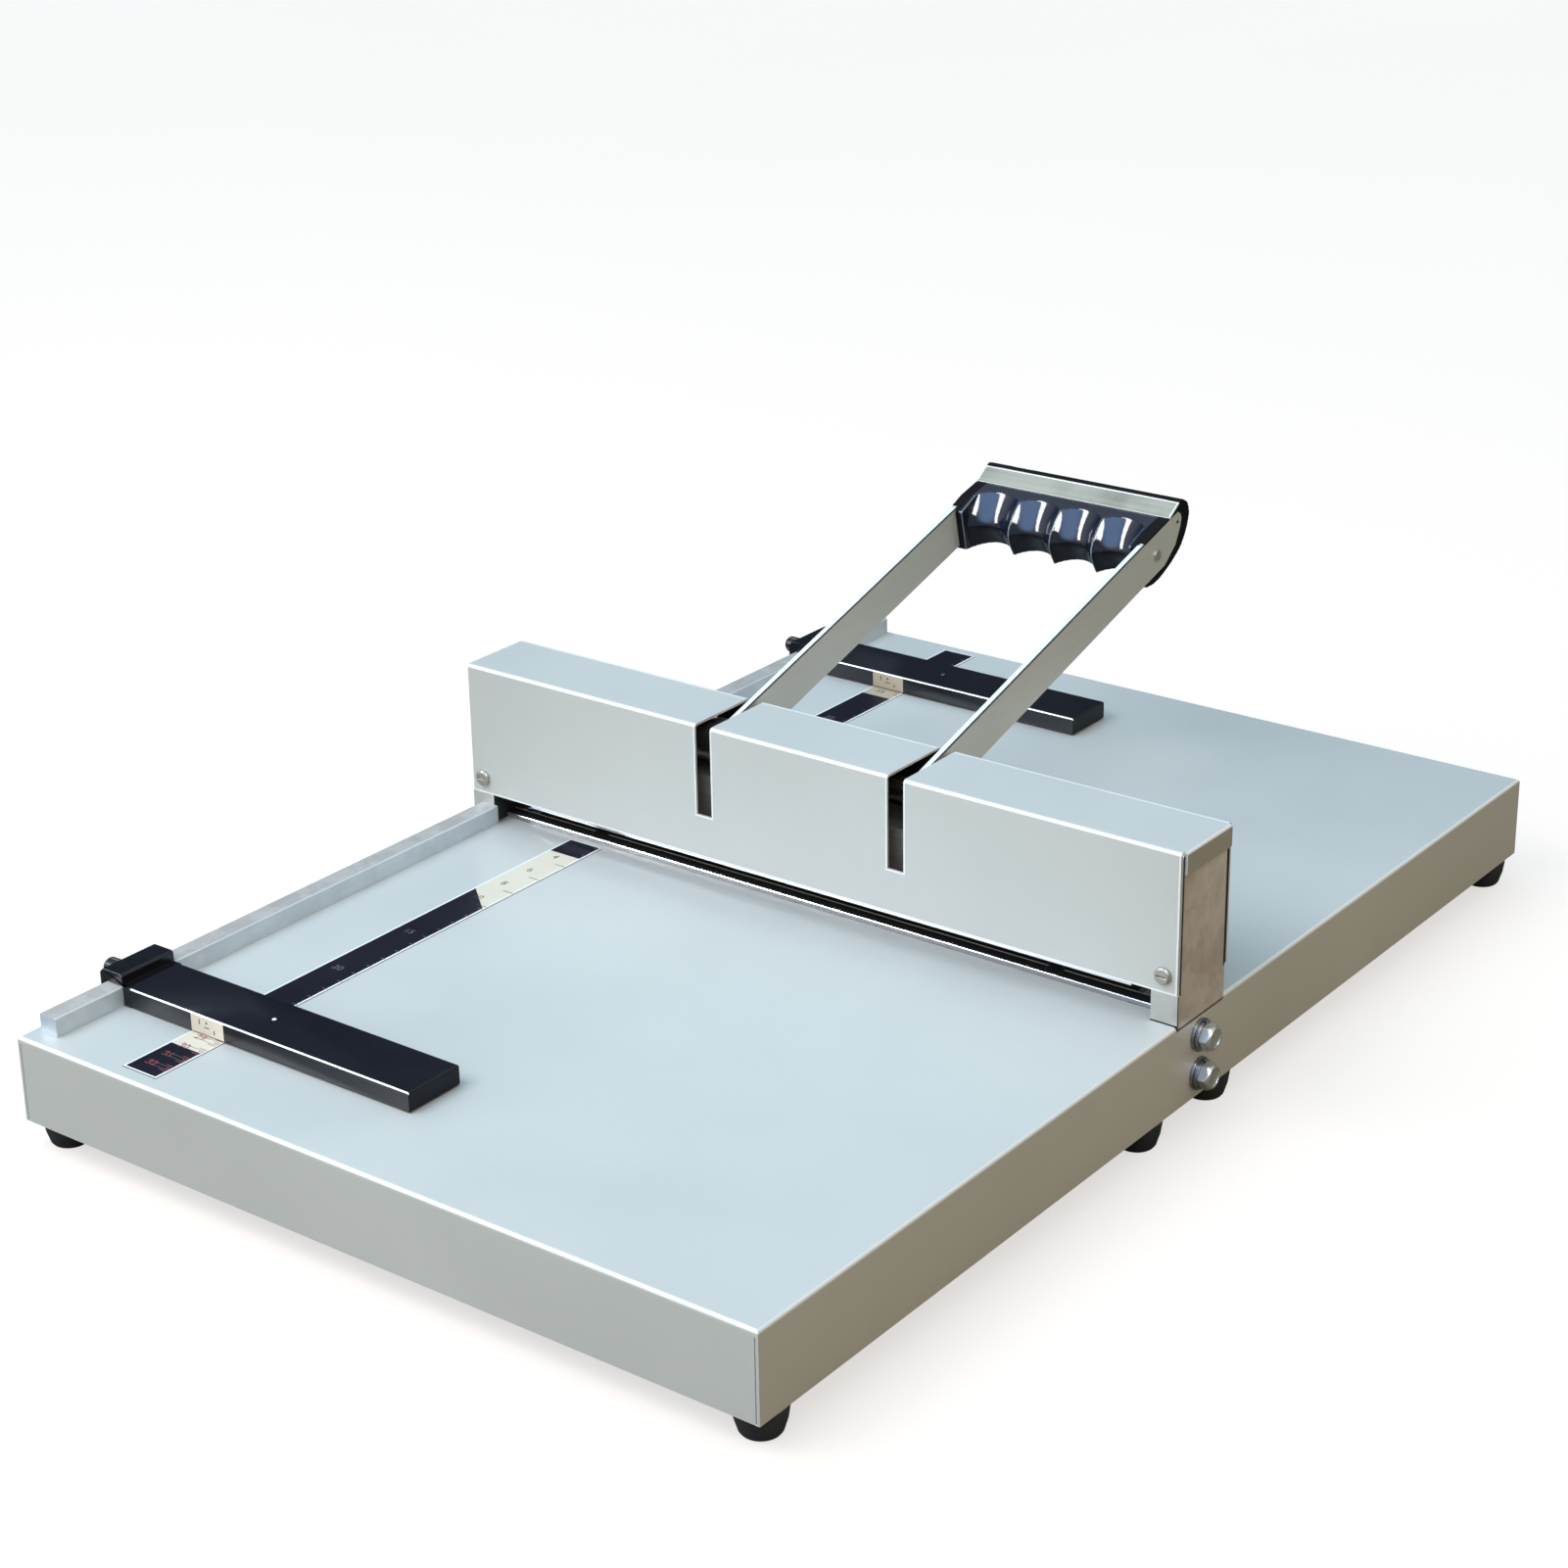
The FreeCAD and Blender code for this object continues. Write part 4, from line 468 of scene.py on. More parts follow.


# %% [markdown]
# A folded sheet is brightest where it turns from one side to the next, because that narrow curve always
# finds the lamp. This effect paints that highlight into the colour. On a piece whose sides lie along the
# axes, the curve is where the normal lies along none of them. So the painted highlight's mask falls with
# the normal's largest part.

# %% Painted fold highlight
painted_fold_highlight, given, out = effect("painted_fold_highlight", {"Normal": None, "Start": 0.985, "Full": 0.90}, ["Mask"])
bits = add(painted_fold_highlight, "SeparateXYZ", (-4, 0), {0: given["Normal"]})
sizes = [math_node(painted_fold_highlight, "ABSOLUTE", bits.outputs[axis], spot=(-3, 1 - axis)) for axis in range(3)]
larger = math_node(painted_fold_highlight, "MAXIMUM", sizes[0], sizes[1], (-2, 1))
largest = math_node(painted_fold_highlight, "MAXIMUM", larger, sizes[2], (-1, 0))
mask = stretch(painted_fold_highlight, largest, given["Start"], given["Full"], spot=(1, 0))
painted_fold_highlight.links.new(mask, out["Mask"])

# %% [markdown]
# Clouds: two sizes of slow noise, for tone that drifts over a hand's width, as coats and handled metal do.

# %% Soft clouds
soft_clouds, given, out = effect("soft_clouds", {"Place": None, "Size": 6.0, "Contrast": 0.5}, ["Mask"])
broad = noise(soft_clouds, given["Place"], given["Size"], 2.0, 0.45, 0.4, (-3, 1))
small = times(soft_clouds, given["Size"], 4.3, (-4, -1))
second = noise(soft_clouds, given["Place"], small, 3.0, spot=(-3, -1))
mixed = math_node(soft_clouds, "ADD", times(soft_clouds, broad, 0.72, (-1, 1)),
                  times(soft_clouds, second, 0.28, (-1, -1)), (0, 0))
half_range = times(soft_clouds, given["Contrast"], 0.5, (0, 2))
cut_off = math_node(soft_clouds, "SUBTRACT", 0.55, half_range, (0, 1))
low_end = math_node(soft_clouds, "SUBTRACT", 0.5, cut_off, (1, 1))
high_end = math_node(soft_clouds, "SUBTRACT", 1.0, low_end, (1, -1))
mask = stretch(soft_clouds, mixed, low_end, high_end, spot=(2, 0))
soft_clouds.links.new(mask, out["Mask"])

# %% [markdown]
# Grain: the small waves of a powder coat or of cast plastic. The height goes to a bump node in the
# material, and the same waves vary the roughness a little.

# %% Fine grain
fine_grain, given, out = effect("fine_grain", {"Place": None, "Size": 900.0}, ["Height", "Specks"])
waves = noise(fine_grain, given["Place"], given["Size"], 2.0, spot=(-2, 1))
speck_size = times(fine_grain, given["Size"], 0.31, (-3, -1))
dots = noise(fine_grain, given["Place"], speck_size, 4.0, 0.7, spot=(-2, -1))
specks = stretch(fine_grain, dots, 0.66, 0.74, spot=(0, -1))
fine_grain.links.new(waves, out["Height"])
fine_grain.links.new(specks, out["Specks"])

# %% [markdown]
# Streaks: noise squeezed a hundred times along one axis looks like the lines that a die, a belt or a
# grinding wheel leaves. The Mapping node in each material chooses the direction.

# %% Drawn streaks
streaks, given, out = effect("drawn_streaks", {"Place": None, "Size": 500.0}, ["Mask", "Height"])
lines = noise(streaks, given["Place"], given["Size"], 3.0, 0.65, spot=(-2, 1))
wide = noise(streaks, given["Place"], times(streaks, given["Size"], 0.12, (-3, -1)), 2.0, spot=(-2, -1))
strength = times(streaks, lines, math_node(streaks, "ADD", wide, 0.5, (-1, -1)), (0, 0))
mask = stretch(streaks, strength, 0.3, 0.7, spot=(1, 0))
streaks.links.new(mask, out["Mask"])
streaks.links.new(lines, out["Height"])

# %% [markdown]
# ## Finishes: the materials
# Each material starts from the piece's own coordinates, so a pattern stays on it when it moves.

# %% Material base


def new_material(name):
    made = bpy.data.materials.new(name)
    made.use_nodes = True
    tree = made.node_tree
    tree.nodes.clear()
    coords = add(tree, "TexCoord", (-8, 0)).outputs
    shader = add(tree, "BsdfPrincipled", (3, 0))
    add(tree, "OutputMaterial", (5, 0), {0: shader.outputs[0]})
    return made, tree, coords["Object"], coords["Normal"], shader


def wire(tree, shader, **sockets):
    """Fill the shader's sockets by name, with links or constants."""
    for key, value in sockets.items():
        label = " ".join(word if word == "IOR" else word.capitalize() for word in key.split("_"))
        if isinstance(value, bpy.types.NodeSocket):
            tree.links.new(value, shader.inputs[label])
        else:
            shader.inputs[label].default_value = value


def bump(tree, height, strength, distance):
    return add(tree, "Bump", (2, -2), {"Height": height, "Strength": strength,
                                       "Distance": distance * MM}).outputs[0]


def turned(tree, vector, tilt, scale=(1, 1, 1), kind="POINT", spot=(-6, 0)):
    """Turn a coordinate back by a piece's tilt about the x axis, in degrees, and scale it."""
    sockets = {"Vector": vector, "Scale": scale, "Rotation": (math.radians(-tilt), 0, 0)}
    return add(tree, "Mapping", spot, sockets, vector_type=kind).outputs[0]


def paint_fold_highlight(tree, normal, base, share, tone):
    """Paint the fold highlight over a base colour."""
    edge = use(tree, painted_fold_highlight, (-4, 3), normal=normal)
    return blend_colour(tree, times(tree, edge.outputs[0], share, (-1, 3)), base, tone, (1, 2))


def dusted(tree, base, grain, share, tone):
    """Sprinkle the grain's specks over a base colour."""
    return blend_colour(tree, times(tree, grain.outputs["Specks"], share, (-2, 0)), base, tone, (-1, 1))


# %% [markdown]
# ### The grey coat
# A light grey satin powder coat on folded sheet: a slow drift between two greys, a fine skin of waves, a
# few specks of dust, and a painted highlight at the folds.

# %% Coat


def coat(name, light, dark, fold=0.9):
    made, tree, place, normal, shader = new_material(name)
    clouds = use(tree, soft_clouds, (-4, 1), place=place, size=5.0, contrast=0.55).outputs[0]
    grain = use(tree, fine_grain, (-4, -1), place=place, size=950.0)
    base = blend_colour(tree, clouds, colour(*dark), colour(*light), (-2, 1))
    base = dusted(tree, base, grain, 0.10, colour(0.80, 0.80, 0.78))
    # Painted highlight along the folds.
    base = paint_fold_highlight(tree, normal, base, fold, colour(0.97, 0.98, 0.99))
    waves = times(tree, grain.outputs["Height"], 0.4, (-2, -1))
    uneven = math_node(tree, "ADD", clouds, waves, (-1, -1))
    wire(tree, shader, base_color=base, roughness=stretch(tree, uneven, 0.2, 1.2, 0.30, 0.42, (1, -1)),
         specular_IOR_level=0.5, normal=bump(tree, grain.outputs["Height"], 0.10, 0.05))
    return made


paint = coat("grey_coat", (0.655, 0.670, 0.665), (0.600, 0.617, 0.613))
# A slightly darker copy of the coat for the cover's front: painted shade.
front_shade_paint = coat("cover_front_painted_shade", (0.628, 0.645, 0.632), (0.582, 0.600, 0.590))
# A darker copy of the coat for the cover's end lips: painted shade.
shade_paint = coat("coat_painted_shade", (0.445, 0.435, 0.40), (0.40, 0.39, 0.36), fold=0.6)
# A near-white copy of the coat for narrow bands along edges: a painted highlight.
band_highlight_paint = coat("coat_painted_highlight", (0.97, 0.98, 0.99), (0.90, 0.91, 0.92), fold=0.0)

# %% [markdown]
# ### Bare and machined metals
# The side frames are ground plate that nobody painted: dull, brownish, with blotches where hands and oil
# have been. The rails and the grip's strip are drawn aluminium. Shaft, cams, die and beam are machined.

# %% Metal
ARM_TILT, GRIP_TILT = 16.6, 33.6


def metal(name, light, dark, rough, streak_scale, streak_size, blotch, fold=0.0, tilt=0.0, metallic=1.0,
          bump_strength=0.12, patch=0.6):
    made, tree, place, normal, shader = new_material(name)
    drawn = turned(tree, place, tilt, streak_scale, spot=(-6, -1))
    lines = use(tree, streaks, (-4, -1), place=drawn, size=streak_size)
    clouds = use(tree, soft_clouds, (-4, 1), place=place, size=blotch, contrast=patch).outputs[0]
    share = math_node(tree, "ADD", times(tree, clouds, 0.65, (-3, 1)),
                      times(tree, lines.outputs["Mask"], 0.35, (-3, 0)), (-2, 0))
    base = blend_colour(tree, share, colour(*dark), colour(*light), (-1, 1))
    # Painted highlight along the folds.
    if fold:
        if tilt:
            normal = turned(tree, normal, tilt, kind="VECTOR", spot=(-6, 2))
        base = paint_fold_highlight(tree, normal, base, fold, colour(0.98, 0.98, 0.97))
    roughness = stretch(tree, share, 0.0, 1.0, rough[1], rough[0], (1, -1))
    wire(tree, shader, base_color=base, roughness=roughness, metallic=metallic,
         normal=bump(tree, lines.outputs["Height"], bump_strength, 0.03))
    return made


# %% Bare plate, bars and tools
# Each set below is the streaks' direction and size, and the size of the blotches.
GROUND = (1, 1, 0.8), 160.0, 42.0
SAWN = (1, 0.04, 1), 620.0, 20.0
PLATED = (1, 1, 1), 1400.0, 90.0
plate_steel = metal(
    "ground_plate", (0.75, 0.665, 0.60), (0.50, 0.44, 0.395), (0.40, 0.55), *GROUND,
    fold=0.85, metallic=0.3, patch=0.95)
# A greyer, cooler copy of the plate for its front faces: painted light.
plate_painted_light = metal(
    "ground_plate_painted_front_light", (0.575, 0.595, 0.56), (0.49, 0.505, 0.475), (0.40, 0.55), *GROUND,
    fold=0.85, metallic=0.3)
arm_steel = metal(
    "satin_arm", (0.73, 0.755, 0.74), (0.65, 0.67, 0.65), (0.30, 0.40), (1, 0.04, 1), 620.0, 9.0,
    fold=0.9, tilt=ARM_TILT, metallic=0.3)
machined = metal(
    "machined_steel", (0.60, 0.60, 0.585), (0.45, 0.445, 0.43), (0.24, 0.36), (0.05, 1, 1), 700.0, 20.0)
beam_steel = metal(
    "beam_steel", (0.60, 0.57, 0.51), (0.40, 0.375, 0.335), (0.34, 0.48), (0.04, 1, 1), 520.0, 26.0,
    metallic=0.5)
tool_steel = metal(
    "ground_tool_steel", (0.40, 0.405, 0.41), (0.30, 0.305, 0.31), (0.22, 0.34), (0.03, 1, 1), 800.0, 16.0,
    metallic=0.7)
rail_metal = metal(
    "drawn_aluminium", (0.66, 0.76, 0.84), (0.56, 0.65, 0.73), (0.30, 0.42), (1, 0.015, 1), 420.0, 40.0,
    fold=0.35, metallic=0.2, patch=0.9)
worn_rail = metal(
    "worn_rail_top", (0.57, 0.555, 0.545), (0.42, 0.41, 0.405), (0.36, 0.50), (1, 0.2, 1), 260.0, 60.0,
    metallic=0.1, patch=0.95)
strip_metal = metal(
    "grip_strip_aluminium", (0.56, 0.57, 0.51), (0.19, 0.195, 0.165), (0.30, 0.42), (0.012, 1, 1), 460.0,
    9.0, fold=0.95, tilt=GRIP_TILT, metallic=0.5, patch=0.9)

# %% Painted highlight lines, painted shade lines and small hardware
# A near-white finish for thin lines along edges: a painted highlight.
painted_line_highlight = metal(
    "painted_highlight_line", (0.97, 0.97, 0.96), (0.90, 0.90, 0.89), (0.30, 0.42), *SAWN, metallic=0.15)
# A near-black finish for thin lines and faces in gaps: painted shade.
painted_edge_shadow = metal(
    "painted_shadow_line", (0.030, 0.030, 0.028), (0.018, 0.018, 0.017), (0.45, 0.60), *SAWN, metallic=0.3)
# A polished edge, low in roughness, with a colour far brighter than the steel beside it: a painted highlight.
polished_painted_highlight = metal(
    "mirror_edge_painted_highlight", (0.95, 0.95, 0.94), (0.88, 0.88, 0.87), (0.10, 0.16), (0.03, 1, 1), 800.0, 16.0,
    bump_strength=0.02)
# Near black: the die's screws are blackened steel, and every other use is painted shade in gaps and hollows.
black_and_painted_shade = metal(
    "blackened_steel_and_painted_shade", (0.035, 0.034, 0.032), (0.020, 0.019, 0.018), (0.42, 0.60), (0.05, 1, 1), 520.0,
    26.0, metallic=0.3)
spring_wire = metal(
    "spring_wire", (0.50, 0.50, 0.51), (0.36, 0.36, 0.37), (0.26, 0.38), (1, 1, 1), 900.0, 60.0)
zinc = metal(
    "bright_zinc", (0.64, 0.64, 0.60), (0.46, 0.46, 0.43), (0.24, 0.36), *PLATED, metallic=0.6)
washer_steel = metal(
    "washer_steel", (0.34, 0.35, 0.36), (0.20, 0.205, 0.21), (0.22, 0.34), *PLATED, metallic=0.8)
warm_zinc = metal(
    "warm_zinc", (0.45, 0.435, 0.385), (0.345, 0.33, 0.295), (0.30, 0.42), *PLATED, metallic=0.35)
bronze = metal(
    "sintered_bronze", (0.60, 0.43, 0.22), (0.42, 0.29, 0.15), (0.34, 0.48), (1, 1, 1), 1500.0, 70.0)

# %% [markdown]
# ### Blacks and inks
# Rubber is matt and grainy. The stops are glossy black enamel with a duller top, and a painted highlight
# on the broken edge. The grip is a blue-black moulding: its finger grooves are so smooth that they mirror
# the room, its flat top is satin, its underside gets a darker painted shade, and its back is matt. A thin
# painted highlight marks its sharpest crests. Printed inks use the same recipe with other colours.

# %% Black
CREST_HIGHLIGHT_SHARE = 0.8


def black(name, light, dark, rough, grain_size, grain_bump, spec=0.5, dust=0.25, crest_highlight=None):
    made, tree, place, normal, shader = new_material(name)
    clouds = use(tree, soft_clouds, (-4, 1), place=place, size=18.0, contrast=0.6).outputs[0]
    grain = use(tree, fine_grain, (-4, -1), place=place, size=grain_size)
    base = blend_colour(tree, clouds, colour(*dark), colour(*light), (-2, 1))
    base = dusted(tree, base, grain, dust, colour(0.10, 0.10, 0.10))
    # A painted highlight on the sharpest crests, where pointiness is high.
    if crest_highlight:
        bend = add(tree, "NewGeometry", (-4, 5)).outputs["Pointiness"]
        ridge = stretch(tree, bend, 0.515, 0.56, 0.0, CREST_HIGHLIGHT_SHARE, (-2, 5))
        base = blend_colour(tree, ridge, base, colour(*crest_highlight), (1, 3))
    uneven = math_node(tree, "ADD", clouds, grain.outputs["Height"], (-1, -1))
    roughness = stretch(tree, uneven, 0.3, 1.5, rough[0], rough[1], (1, -1))
    wire(tree, shader, base_color=base, roughness=roughness, specular_IOR_level=spec,
         normal=bump(tree, grain.outputs["Height"], grain_bump, 0.05))
    return made


# %% Rubber, enamel and the grip
# Each set is the size and the height of the small waves.
ENAMEL_SKIN, MOULD_SKIN = (260.0, 0.02), (380.0, 0.02)
rubber = black("foot_rubber", (0.020, 0.020, 0.021), (0.011, 0.011, 0.012), (0.55, 0.75), 600.0, 0.35)
enamel = black("stop_enamel", (0.0050, 0.0060, 0.0115), (0.0035, 0.0042, 0.0085), (0.20, 0.26), *ENAMEL_SKIN,
               spec=0.45, dust=0.02)
enamel_top = black("satin_enamel", (0.0085, 0.0105, 0.0185), (0.0065, 0.0080, 0.0145), (0.30, 0.38),
                   *ENAMEL_SKIN, spec=0.16, dust=0.02)
# A grey for the stop blocks' front chamfer: a painted highlight.
enamel_painted_highlight = black("enamel_rim_painted_highlight", (0.42, 0.44, 0.47), (0.26, 0.27, 0.29), (0.30, 0.42), 900.0, 0.05)
moulding = black("grip_moulding", (0.012, 0.020, 0.042), (0.008, 0.013, 0.028), (0.07, 0.12), *MOULD_SKIN,
                 spec=0.6, crest_highlight=(0.42, 0.48, 0.58))
moulding_flat = black("grip_moulding_flat", (0.013, 0.020, 0.036), (0.009, 0.014, 0.026), (0.16, 0.24),
                      *MOULD_SKIN, spec=0.22)
# A darker copy of the moulding for the grip's underside: painted shade.
moulding_shade_below = black("grip_moulding_underside", (0.007, 0.009, 0.015), (0.005, 0.006, 0.010), (0.20, 0.30),
                     *MOULD_SKIN, spec=0.12, crest_highlight=(0.30, 0.34, 0.40))
shell_black = black("grip_shell_matt", (0.006, 0.006, 0.007), (0.004, 0.004, 0.005), (0.55, 0.70), 500.0,
                    0.10, spec=0.08)

# %% Inks and labels
# Each set is the roughness, then the skin.
LABEL, INK = ((0.42, 0.55), 800.0, 0.06), ((0.45, 0.60), 900.0, 0.02)
strip_ink = black("ruler_black", (0.0115, 0.012, 0.024), (0.008, 0.0085, 0.017), (0.34, 0.46), 800.0, 0.03,
                  spec=0.12, dust=0.03)
cream_ink = black("ruler_cream", (0.82, 0.765, 0.65), (0.76, 0.70, 0.585), *LABEL, spec=0.35, dust=0.1)
# The rear labels are a darker tan than the front's cream.
tan_ink = black("aged_label", (0.56, 0.475, 0.365), (0.49, 0.41, 0.315), *LABEL, spec=0.3, dust=0.2)
label_white = black("label_border", (0.97, 0.97, 0.96), (0.93, 0.93, 0.92), (0.42, 0.55), 800.0, 0.03,
                    spec=0.35, dust=0.02)
dark_ink = black("tick_black", (0.030, 0.030, 0.032), (0.018, 0.018, 0.020), *INK)
pale_ink = black("tick_grey", (0.16, 0.16, 0.18), (0.10, 0.10, 0.115), *INK)
red_ink = black("tick_red", (0.46, 0.06, 0.06), (0.36, 0.04, 0.04), *INK)

# %% [markdown]
# The floor is studio board: nearly white, matt, with a slow drift in tone so that it isn't a flat colour.
# It throws only a little light back up, as a floor at some distance below a product does.

# %% Floor board
board, tree, place, normal, shader = new_material("studio_board")
drift = use(tree, soft_clouds, (-4, 1), place=place, size=0.8, contrast=0.5).outputs[0]
grey = blend_colour(tree, drift, colour(0.42, 0.35, 0.31), colour(0.44, 0.365, 0.325), (-2, 1))
wire(tree, shader, base_color=grey, roughness=0.9, specular_IOR_level=0.05,
     emission_color=colour(1.0, 1.0, 1.0), emission_strength=0.66)
shadow_side = add(tree, "BsdfDiffuse", (3, -3), {"Color": colour(0.22, 0.20, 0.17)})
seen = add(tree, "LightPath", (3, 2)).outputs["Is Camera Ray"]
both = add(tree, "MixShader", (4, 1), {0: seen, 1: shadow_side.outputs[0], 2: shader.outputs[0]})
tree.links.new(both.outputs[0], tree.nodes["Material Output"].inputs[0])
floor.data.materials.append(board)

# %% [markdown]
# ### Putting a piece in place
# Every finished piece gets its material and rides on the body that carries it, so that one scene looks
# right at every position of the handle and the stops.

# %% Colour chosen faces


def tint(thing, finishes, *tests):
    """Give the faces that pass the first test the second finish, and so on."""
    thing.data.materials.clear()
    for one in finishes:
        thing.data.materials.append(one)
    counts = [0] * len(finishes)
    for face in thing.data.polygons:
        spot, way = face.center / MM, face.normal
        face.material_index = max([i + 1 for i, test in enumerate(tests) if test(spot, way)], default=0)
        counts[face.material_index] += 1
    if tests:
        print("%-24s faces of each finish: %s" % (thing.name, counts))


# %% Place a piece


def put(thing, body, slot, finish, *nodes, tests=()):
    """Give a piece its finishes and let it ride on its body in place of its solids."""
    finishes = finish if isinstance(finish, list) else [finish]
    if tests or len(thing.data.materials) != len(finishes):
        tint(thing, finishes, *tests)
    only(thing)
    for spot, one in enumerate(finishes):
        thing.data.materials[spot] = one
    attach(thing, body)
    if nodes:
        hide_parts(*nodes)
    size = [round(v / MM, 1) for v in thing.dimensions]
    print("%-24s %6d faces, %s mm, on %s" % (thing.name, len(thing.data.polygons), size, body))


def ends_at(**places):
    """A test for edges whose two ends both lie at the given coordinates."""
    return lambda a, b: all(same(getattr(a, axis), place) and same(getattr(b, axis), place)
                            for axis, place in places.items())


# %% [markdown]
# ## The tray
# The table is one sheet of 1.5 mm steel, folded down on four sides and in again underneath. A modeller
# could build its thickness by hand, but sheet metal is easier as a bare surface: fold it, cut it, and give
# it its thickness last, as the workshop does in the other order.

# %% Tray: fold
HALF_X, HALF_Y, TRAY_LOW, TABLE = 215.0, 338.0, 14.0, 57.4
TRAY_SHEET, FOLD, FLANGE = 1.5, 2, 26
tray = block("tray_sheet", (-HALF_X, -HALF_Y, TRAY_LOW), (HALF_X, HALF_Y, TABLE))
remove(tray, lambda spot, way: way.z < -0.9)
with chosen(tray, "edges", ends_at(z=TABLE)):
    round_off(FOLD)

# %% Tray: return flange
with chosen(tray, "edges", ends_at(z=TRAY_LOW)):
    pull(0, 0, 0)
    grow(((HALF_X - FLANGE) / HALF_X, (HALF_Y - FLANGE) / HALF_Y, 1), (0, 0, TRAY_LOW))

# %% [markdown]
# The side frames stand in notches at the table's edge, and the front and rear skirts meet the side skirts
# in an open seam. Both are cuts through the bare surface: saw lines first, then the faces between them go.

# %% Tray: notches and seams
NOTCH_X, NOTCH_FRONT, NOTCH_REAR, NOTCH_LOW = 200.3, -23.1, 19.9, TABLE - 2.6
SEAM_IN, SEAM_OUT, SEAM_TOP = 213.0, 213.5, TABLE - 3.5
saw(tray, "x", -NOTCH_X, NOTCH_X, -SEAM_OUT, -SEAM_IN, SEAM_IN, SEAM_OUT)
saw(tray, "y", NOTCH_FRONT, NOTCH_REAR)
saw(tray, "z", SEAM_TOP, NOTCH_LOW)
remove(tray, lambda spot, way: abs(spot.x) > NOTCH_X and NOTCH_FRONT < spot.y < NOTCH_REAR
       and spot.z > NOTCH_LOW - 0.001)
remove(tray, lambda spot, way: SEAM_IN < abs(spot.x) < SEAM_OUT and abs(spot.y) > HALF_Y - 0.1
       and TRAY_LOW + TRAY_SHEET < spot.z < SEAM_TOP)

# %% Tray: thickness
thicken(tray, TRAY_SHEET)
ease(tray, 0.22, 2, 50)
put(tray, "base", "sheet_paint", paint, "base_tray")

# %% [markdown]
# ## The head cover
# A second folded sheet, 1.2 mm thick, stands over the head like a tunnel. Two slots let the arms swing
# through, and a short lip at each end hangs over the side frame. The steps are the tray's again: fold the
# bare surface, saw and remove the slots, pull the lips out of the top's ends, then add the thickness.
# A few more saw lines leave a narrow band round the slots and along the edges for a painted highlight.

# %% Cover: fold and slots
COVER_X, COVER_Y, COVER_LOW, COVER_TOP, COVER_SHEET = 214.3, 22.6, 72.8, 143.7, 1.2
SLOT_IN, SLOT_OUT, SILL, REAR_SILL = 53.55, 63.05, 95.4, 122.306
BAND = 0.9
REAR_BAND = COVER_Y - FOLD - BAND
cover = block("head_cover_sheet", (-COVER_X, -COVER_Y, COVER_LOW), (COVER_X, COVER_Y, COVER_TOP))
remove(cover, lambda spot, way: way.z < -0.9 or abs(way.x) > 0.9)
with chosen(cover, "edges", lambda a, b: ends_at(z=COVER_TOP)(a, b) and abs(a.x - b.x) > 100):
    round_off(FOLD)
saw(cover, "x", -SLOT_OUT, -SLOT_IN, SLOT_IN, SLOT_OUT, SLOT_IN - BAND, SLOT_OUT + BAND, BAND - SLOT_IN,
    -SLOT_OUT - BAND, COVER_X - BAND, BAND - COVER_X)
saw(cover, "z", SILL, REAR_SILL, SILL - BAND, COVER_LOW + BAND)
saw(cover, "y", REAR_BAND)
remove(cover, lambda spot, way: SLOT_IN < abs(spot.x) < SLOT_OUT
       and (spot.z > (SILL if spot.y < 0 else REAR_SILL)))

# %% Cover: lips
LIP_Y, LIP_OUT, LIP_DROP = 20.0, 1.9, 11
saw(cover, "y", -LIP_Y, LIP_Y)
for side in (-1, 1):
    top_end = ends_at(x=side * COVER_X, z=COVER_TOP)
    with chosen(cover, "edges", lambda a, b: top_end(a, b) and max(abs(a.y), abs(b.y)) < LIP_Y + 0.1):
        pull(side * LIP_OUT, 0, 0)
        pull(0, 0, -LIP_DROP)
    with chosen(cover, "edges", ends_at(x=side * (COVER_X + LIP_OUT), z=COVER_TOP)):
        round_off(1.8)

# %% Cover: thickness
thicken(cover, COVER_SHEET)
ease(cover, 0.25, 2, 50)


def in_band(spot):
    """Near a slot, the front's lower edge or its right end."""
    by_slot = SLOT_IN - BAND < abs(spot.x) < SLOT_OUT + BAND and SILL - BAND < spot.z
    return by_slot or spot.z < COVER_LOW + BAND or COVER_X - BAND < spot.x < COVER_X


# %% Cover: painted highlight bands, painted shade inside, on the ends and on the front
FRONT_FACE = -22
cover_finish = [paint, band_highlight_paint, black_and_painted_shade, shade_paint, front_shade_paint]
put(cover, "base", "sheet_paint", cover_finish, "head_cover", tests=[
    # Painted highlight: bands round the slots, along the front's lower edge and right end, and along the
    # top's rear edge.
    lambda spot, way: (way.y < -0.3 and spot.y < FRONT_FACE and in_band(spot))
    or (way.z > 0.9 and REAR_BAND < spot.y and abs(spot.x) < COVER_X),
    # Painted shade: the inner faces and the underside of the top in near black.
    lambda spot, way: (spot.y * way.y < -1 and abs(spot.y) < COVER_Y - 1)
    or (way.z < -0.2 and spot.z > COVER_TOP - 4 and abs(spot.x) < COVER_X - 1),
    # Painted shade: the end lips in the darker copy of the coat.
    lambda spot, way: abs(way.x) > 0.9 and abs(spot.x) > COVER_X + 1.5,
    # Painted shade: the rest of the front in the slightly darker copy of the coat.
    lambda spot, way: way.y < -0.9 and spot.y < FRONT_FACE and not in_band(spot)])

# %% [markdown]
# ## Feet
# Eight turned rubber feet. A lathe part is quickest as a cylinder with a few rings cut round it, each ring
# scaled to its own radius; the screw's recess is an inset pushed up into the underside.

